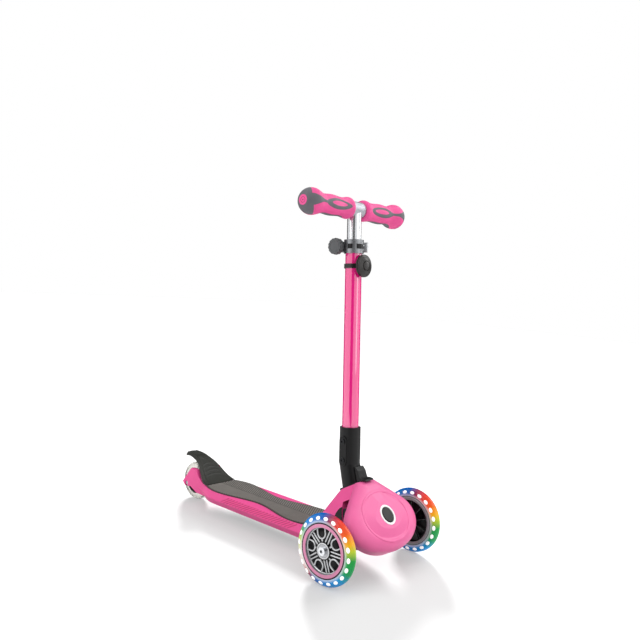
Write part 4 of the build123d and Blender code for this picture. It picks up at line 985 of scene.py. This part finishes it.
# Fine slanting ridges on the deck's shoulders
ridge_pitch = 8.5 * MM
ridge_r = 1.1 * MM
ridge_flat = 0.8
ridge_sides = 6
ridge_points = 6
ridge_tilt = 0.4
ridge_lean = 19 * MM
ridge_low = 38.5 * MM
ridge_high = 49 * MM
ridge_ends = (-95 * MM, 105 * MM)
deck_tree = tree_of("deck_body")
ridges = []
for k in range(int((ridge_ends[1] - ridge_ends[0]) / ridge_pitch)):
    for sign in (1, -1):
        route = []
        for share in np.linspace(0, 1, ridge_points):
            y = ridge_ends[0] + ridge_pitch * k + ridge_lean * share
            start = Vector((sign, y, ridge_high + (ridge_low - ridge_high) * share))
            route.append(deck_tree.ray_cast(start, Vector((-sign, 0, 0)))[0])
        tilted = Vector((sign, 0, ridge_tilt))
        ridges.append(tube_along(route, ridge_r, ridge_flat, tilted, ridge_sides))
# The ridges are drawn in a darker pink as painted shade
piece("deck_ridges", *gather(ridges), shaded_ridge_pink, "deck", "pink_plastic", smooth=False)

# Brake fender: crowned sheet with a wide root
fender_rows = 150
fender_cols = 40
fender_sharp = 50
fender_sheet = 3.2 * MM
side_thin = 0.45
crown = 2.0 * MM
edge_step = 4 * MM
root_half = 40 * MM
root_run = 60 * MM
root_drop = 2.4 * MM
root_share = 0.12
root_thin = 0.4
tip_flare = 0.3
tip_sheet = 4.0 * MM
tip_share = 0.8
flange = 3.0 * MM
flange_start = 0.5
flange_place = 0.78

# Its cross ribs, boss and beads, with places as shares of the fender's length or half width
cross_rib_height = 1.3 * MM
cross_rib_half = 0.66
cross_rib_slope = 8
cross_rib_bow = 0.06
low_ribs = (0.22, 0.50, 4)
tip_ribs = (0.76, 0.92, 3)
boss_share = 0.63
boss_size = (0.5, 0.09)
boss_slope = 6
boss_height = 1.5 * MM
bead_place = 0.78
bead_half = 0.07
bead_height = 1.3 * MM

# Its two hinge lugs
lug_places = (-9 * MM, 9 * MM)
lug_half = 3 * MM
lug_r = 5 * MM
lug_depth = 14 * MM
lug_steps = 12

fender_low, fender_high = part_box("brake_fender")
fender_tree = tree_of("brake_fender")
fender_edge = {}
for vertex in nodes["brake_fender"].data.vertices:
    if vertex.co.z > fender_low.z + lug_depth:
        key = round(vertex.co.y / edge_step) * edge_step
        fender_edge[key] = max(fender_edge.get(key, 0.0), abs(vertex.co.x))
fender_y = sorted(fender_edge)
fender_x = [fender_edge[y] for y in fender_y]


def fender_top(y):
    """Height of the fender's crest at a place along it."""
    hit = fender_tree.ray_cast(Vector((TINY, y, 1.0)), Vector((0, 0, -1)))[0]
    return hit.z


def fender_half(y):
    """Half the fender's width at a place along it, flared to the deck's width at its root."""
    plain = float(np.interp(y, fender_y, fender_x))
    plain *= 1 + tip_flare * ((y - fender_low.y) / (fender_high.y - fender_low.y)) ** 2
    share = min(1.0, (y - fender_low.y) / root_run)
    return plain + max(0.0, root_half - plain) * (0.5 + 0.5 * cos(pi * share))


def waves(place, start, end, count):
    """Rounded ridges, 0 to 1 high, over a stretch of the fender."""
    if not start < place < end:
        return 0.0
    return max(0.0, sin((place - start) / (end - start) * count * TURN))


def fender_relief(t, share):
    """Raised detail: bowed cross ribs low down, an oval boss, grooves near the tip and side beads."""
    fade = min(1.0, max(0.0, (cross_rib_half - abs(t)) * cross_rib_slope))
    ribs = cross_rib_height * waves(share + cross_rib_bow * t * t, *low_ribs) * fade
    tip = cross_rib_height * waves(share, *tip_ribs) * fade
    spread = hypot(t / boss_size[0], (share - boss_share) / boss_size[1])
    boss = boss_height * min(1.0, max(0.0, (1 - spread) * boss_slope))
    bead = bead_height * max(0.0, 1 - ((abs(t) - bead_place) / bead_half) ** 2)
    return ribs + boss + tip + bead


def past(place, start):
    """How far a share of 0 to 1 is past a start, itself from 0 to 1."""
    return max(0.0, (place - start) / (1 - start))


fender_points = []
for layer in ("top", "under"):
    for i in range(fender_rows + 1):
        share = i / fender_rows
        y = between(fender_low.y, fender_high.y, share)
        ease = max(0.0, 1 - share / root_share) ** 2
        top = fender_top(y) - root_drop * ease
        half = fender_half(y)
        thick = fender_sheet + tip_sheet * past(share, tip_share) ** 2
        for j in range(fender_cols + 1):
            t = 2 * j / fender_cols - 1
            z = top - crown * (1 - ease) * t * t
            z -= flange * past(share, flange_start) * past(abs(t), flange_place)
            if layer == "top":
                z += fender_relief(t, share)
            else:
                z += root_thin * root_drop * ease - thick * (1 - side_thin * t * t)
            fender_points.append(Vector((t * half, y, z)))
wide = fender_cols + 1
deep = (fender_rows + 1) * wide
fender_faces = []
for i in range(fender_rows):
    for j in range(fender_cols):
        a = i * wide + j
        fender_faces.append((a, a + 1, a + wide + 1, a + wide))
        fender_faces.append((deep + a, deep + a + wide, deep + a + wide + 1, deep + a + 1))
for i in range(fender_rows):
    a, b = i * wide, (i + 1) * wide
    fender_faces.append((a, b, deep + b, deep + a))
    fender_faces.append((a + fender_cols, deep + a + fender_cols, deep + b + fender_cols, b + fender_cols))
for j in range(fender_cols):
    c = fender_rows * wide + j
    fender_faces.append((j, deep + j, deep + j + 1, j + 1))
    fender_faces.append((c, c + 1, deep + c + 1, deep + c))
hinge = Vector(joints["brake_press"]["pos_m"])
lug_top = fender_top(hinge.y) - fender_sheet
lug_outline = []
for k in range(lug_steps + 1):
    turn = pi * k / lug_steps
    lug_outline.append(Vector((0, hinge.y - lug_r * cos(turn), hinge.z - lug_r * sin(turn))))
lug_outline += [Vector((0, hinge.y + lug_r, lug_top)), Vector((0, hinge.y - lug_r, lug_top))]
lug_count = len(lug_outline)
lug_faces = flipped(end_caps(2, lug_count) + skin(2, lug_count))
fender_parts = [(fender_points, fender_faces)]
for place in lug_places:
    lug_points = [p + Vector((place + out, 0, 0)) for out in (-lug_half, lug_half) for p in lug_outline]
    fender_parts.append((lug_points, lug_faces))
fender = piece("ribbed_fender", *gather(fender_parts), fender_plastic, "brake", "dark_plastic")
sharpen(fender, fender_sharp)
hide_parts("brake_fender")

# Stage: pale floor that keeps soft shadows, white all round
floor_size = 8.0
floor_grey = (0.35, 0.35, 0.35, 1)
floor_lift = 0.37
world_fill = 0.6


def sheet(name, corners, finish):
    """A flat sheet with four corners, for the floor or a card."""
    mesh = bpy.data.meshes.new(name)
    mesh.from_pydata(corners, [], [(0, 1, 2, 3)])
    mesh.materials.append(finish)
    made = placed(name, mesh)
    return made


def any_ray(tree, *kinds):
    """1 for rays of one of these kinds, else 0."""
    path = tree.nodes.new("ShaderNodeLightPath")
    found = path.outputs[kinds[0]]
    for kind in kinds[1:]:
        found = calc(tree, "MAXIMUM", found, path.outputs[kind])
    return found


floor_finish = bpy.data.materials.new("floor_finish")
floor_finish.use_nodes = True
tree = floor_finish.node_tree
tree.nodes.clear()
output = tree.nodes.new("ShaderNodeOutputMaterial")
matte = node(tree, "ShaderNodeBsdfDiffuse", Color=floor_grey)
white = node(tree, "ShaderNodeEmission", Color=FULL_WHITE)
both = tree.nodes.new("ShaderNodeAddShader")
seen_floor = any_ray(tree, "Is Camera Ray", "Is Glossy Ray")
tree.links.new(calc(tree, "MULTIPLY", seen_floor, floor_lift), white.inputs["Strength"])
tree.links.new(matte.outputs["BSDF"], both.inputs[0])
tree.links.new(white.outputs["Emission"], both.inputs[1])
tree.links.new(both.outputs["Shader"], output.inputs["Surface"])
floor_corners = [(-1, -1), (1, -1), (1, 1), (-1, 1)]
floor = sheet("floor", [(x * floor_size, y * floor_size, 0) for x, y in floor_corners], floor_finish)

world = bpy.data.worlds.new("studio")
bpy.context.scene.world = world
world.use_nodes = True
tree = world.node_tree
tree.nodes.clear()
output = tree.nodes.new("ShaderNodeOutputWorld")
seen = node(tree, "ShaderNodeBackground", Color=FULL_WHITE, Strength=1.0)
fill = node(tree, "ShaderNodeBackground", Color=FULL_WHITE, Strength=world_fill)
choose = tree.nodes.new("ShaderNodeMixShader")
seen_world = any_ray(tree, "Is Camera Ray", "Is Glossy Ray", "Is Transmission Ray")
tree.links.new(seen_world, choose.inputs["Fac"])
tree.links.new(fill.outputs["Background"], choose.inputs[1])
tree.links.new(seen.outputs["Background"], choose.inputs[2])
tree.links.new(choose.outputs["Shader"], output.inputs["Surface"])
bpy.context.scene.view_settings.view_transform = "Standard"

# Camera as it was solved from the photograph
view_azimuth = radians(-49.06)
view_elevation = radians(3.35)
view_roll = radians(4.52)
view_distance = 1.38298
view_target = Vector((0, -0.06672, 0.42649))
view_focal = 728.95
image_width = 640
sensor_width = 36.0
back = Vector((
    sin(view_azimuth) * cos(view_elevation),
    -cos(view_azimuth) * cos(view_elevation),
    sin(view_elevation),
))
right = (-back).cross(Vector((0, 0, 1))).normalized()
up = right.cross(-back)
rolled_right = right * cos(view_roll) + up * sin(view_roll)
rolled_up = up * cos(view_roll) - right * sin(view_roll)
camera_data = bpy.data.cameras.new("camera")
camera_data.sensor_width = sensor_width
camera_data.lens = view_focal / image_width * sensor_width
pose = Matrix((rolled_right, rolled_up, back)).transposed().to_4x4()
pose.translation = view_target + back * view_distance
camera = placed("camera", camera_data)
camera.matrix_world = pose
bpy.context.scene.camera = camera


def lit_from(name, data, direction):
    """A lamp in the scene that shines from a direction."""
    made = placed(name, data)
    made.rotation_euler = direction.to_track_quat("Z", "Y").to_euler()
    return made


def softbox(name, side, height, depth, size, energy):
    """An area lamp placed from the camera's point of view and aimed at the scooter."""
    data = bpy.data.lights.new(name, "AREA")
    data.shape = "RECTANGLE"
    data.size, data.size_y = size
    data.energy = energy
    offset = right * side + Vector((0, 0, height)) + back * depth
    lit_from(name, data, offset).location = view_target + offset


def card(name, bearing, distance, width, height, middle, finish):
    """A card that only mirrors see, set round the scooter by its bearing from the camera's."""
    turn = view_azimuth + bearing
    out = Vector((sin(turn), -cos(turn), 0))
    side = Vector((-out.y, out.x, 0)) * (width / 2)
    rise = Vector((0, 0, height / 2))
    at = Vector((0, view_target.y, middle)) + out * distance
    made = sheet(name, [at - side - rise, at + side - rise, at + side + rise, at - side + rise], finish)
    made.visible_camera = False
    made.visible_diffuse = False
    made.visible_transmission = False
    made.visible_shadow = False


card_light = {"Emission_Color": FULL_WHITE, "Emission_Strength": 0.06}
card_black = surface("card_black", CARD_BLACK, 0.9, 0.0, Specular_IOR_Level=0.0)
card_grey = surface("card_grey", CARD_BLACK, 0.9, 0.0, **card_light)
rear_card = {"distance": 0.75, "width": 0.85, "height": 1.6, "middle": 0.45, "finish": card_black}
card("front_card", radians(-4), distance=2.4, width=1.6, height=2.6, middle=0.55, finish=card_grey)
card("rear_card_left", radians(-152), **rear_card)
card("rear_card_right", radians(146), **rear_card)
softbox("key", side=-1.6, height=1.1, depth=1.0, size=(1.0, 1.8), energy=13)
softbox("fill", side=1.7, height=0.7, depth=0.9, size=(0.8, 1.8), energy=7)
softbox("top", side=0.0, height=2.2, depth=0.2, size=(1.6, 1.6), energy=8)
softbox("sheen", side=1.3, height=1.0, depth=-0.9, size=(1.4, 1.4), energy=20)

# A low, wide back light that falls on the floor alone, so that the shadows run towards the viewer
sun_height = radians(21)
shadow_turn = radians(4)
level_back = Vector((back.x, back.y, 0)).normalized()
shadow_way = level_back * cos(shadow_turn) + right * sin(shadow_turn)
toward_sun = Vector((0, 0, sin(sun_height))) - shadow_way * cos(sun_height)
low_sun = bpy.data.lights.new("low_sun", "SUN")
low_sun.energy = 12.3
low_sun.angle = radians(13)
floor_only = bpy.data.collections.new("floor_only")
floor_only.objects.link(floor)
lit_from("low_sun", low_sun, toward_sun).light_linking.receiver_collection = floor_only
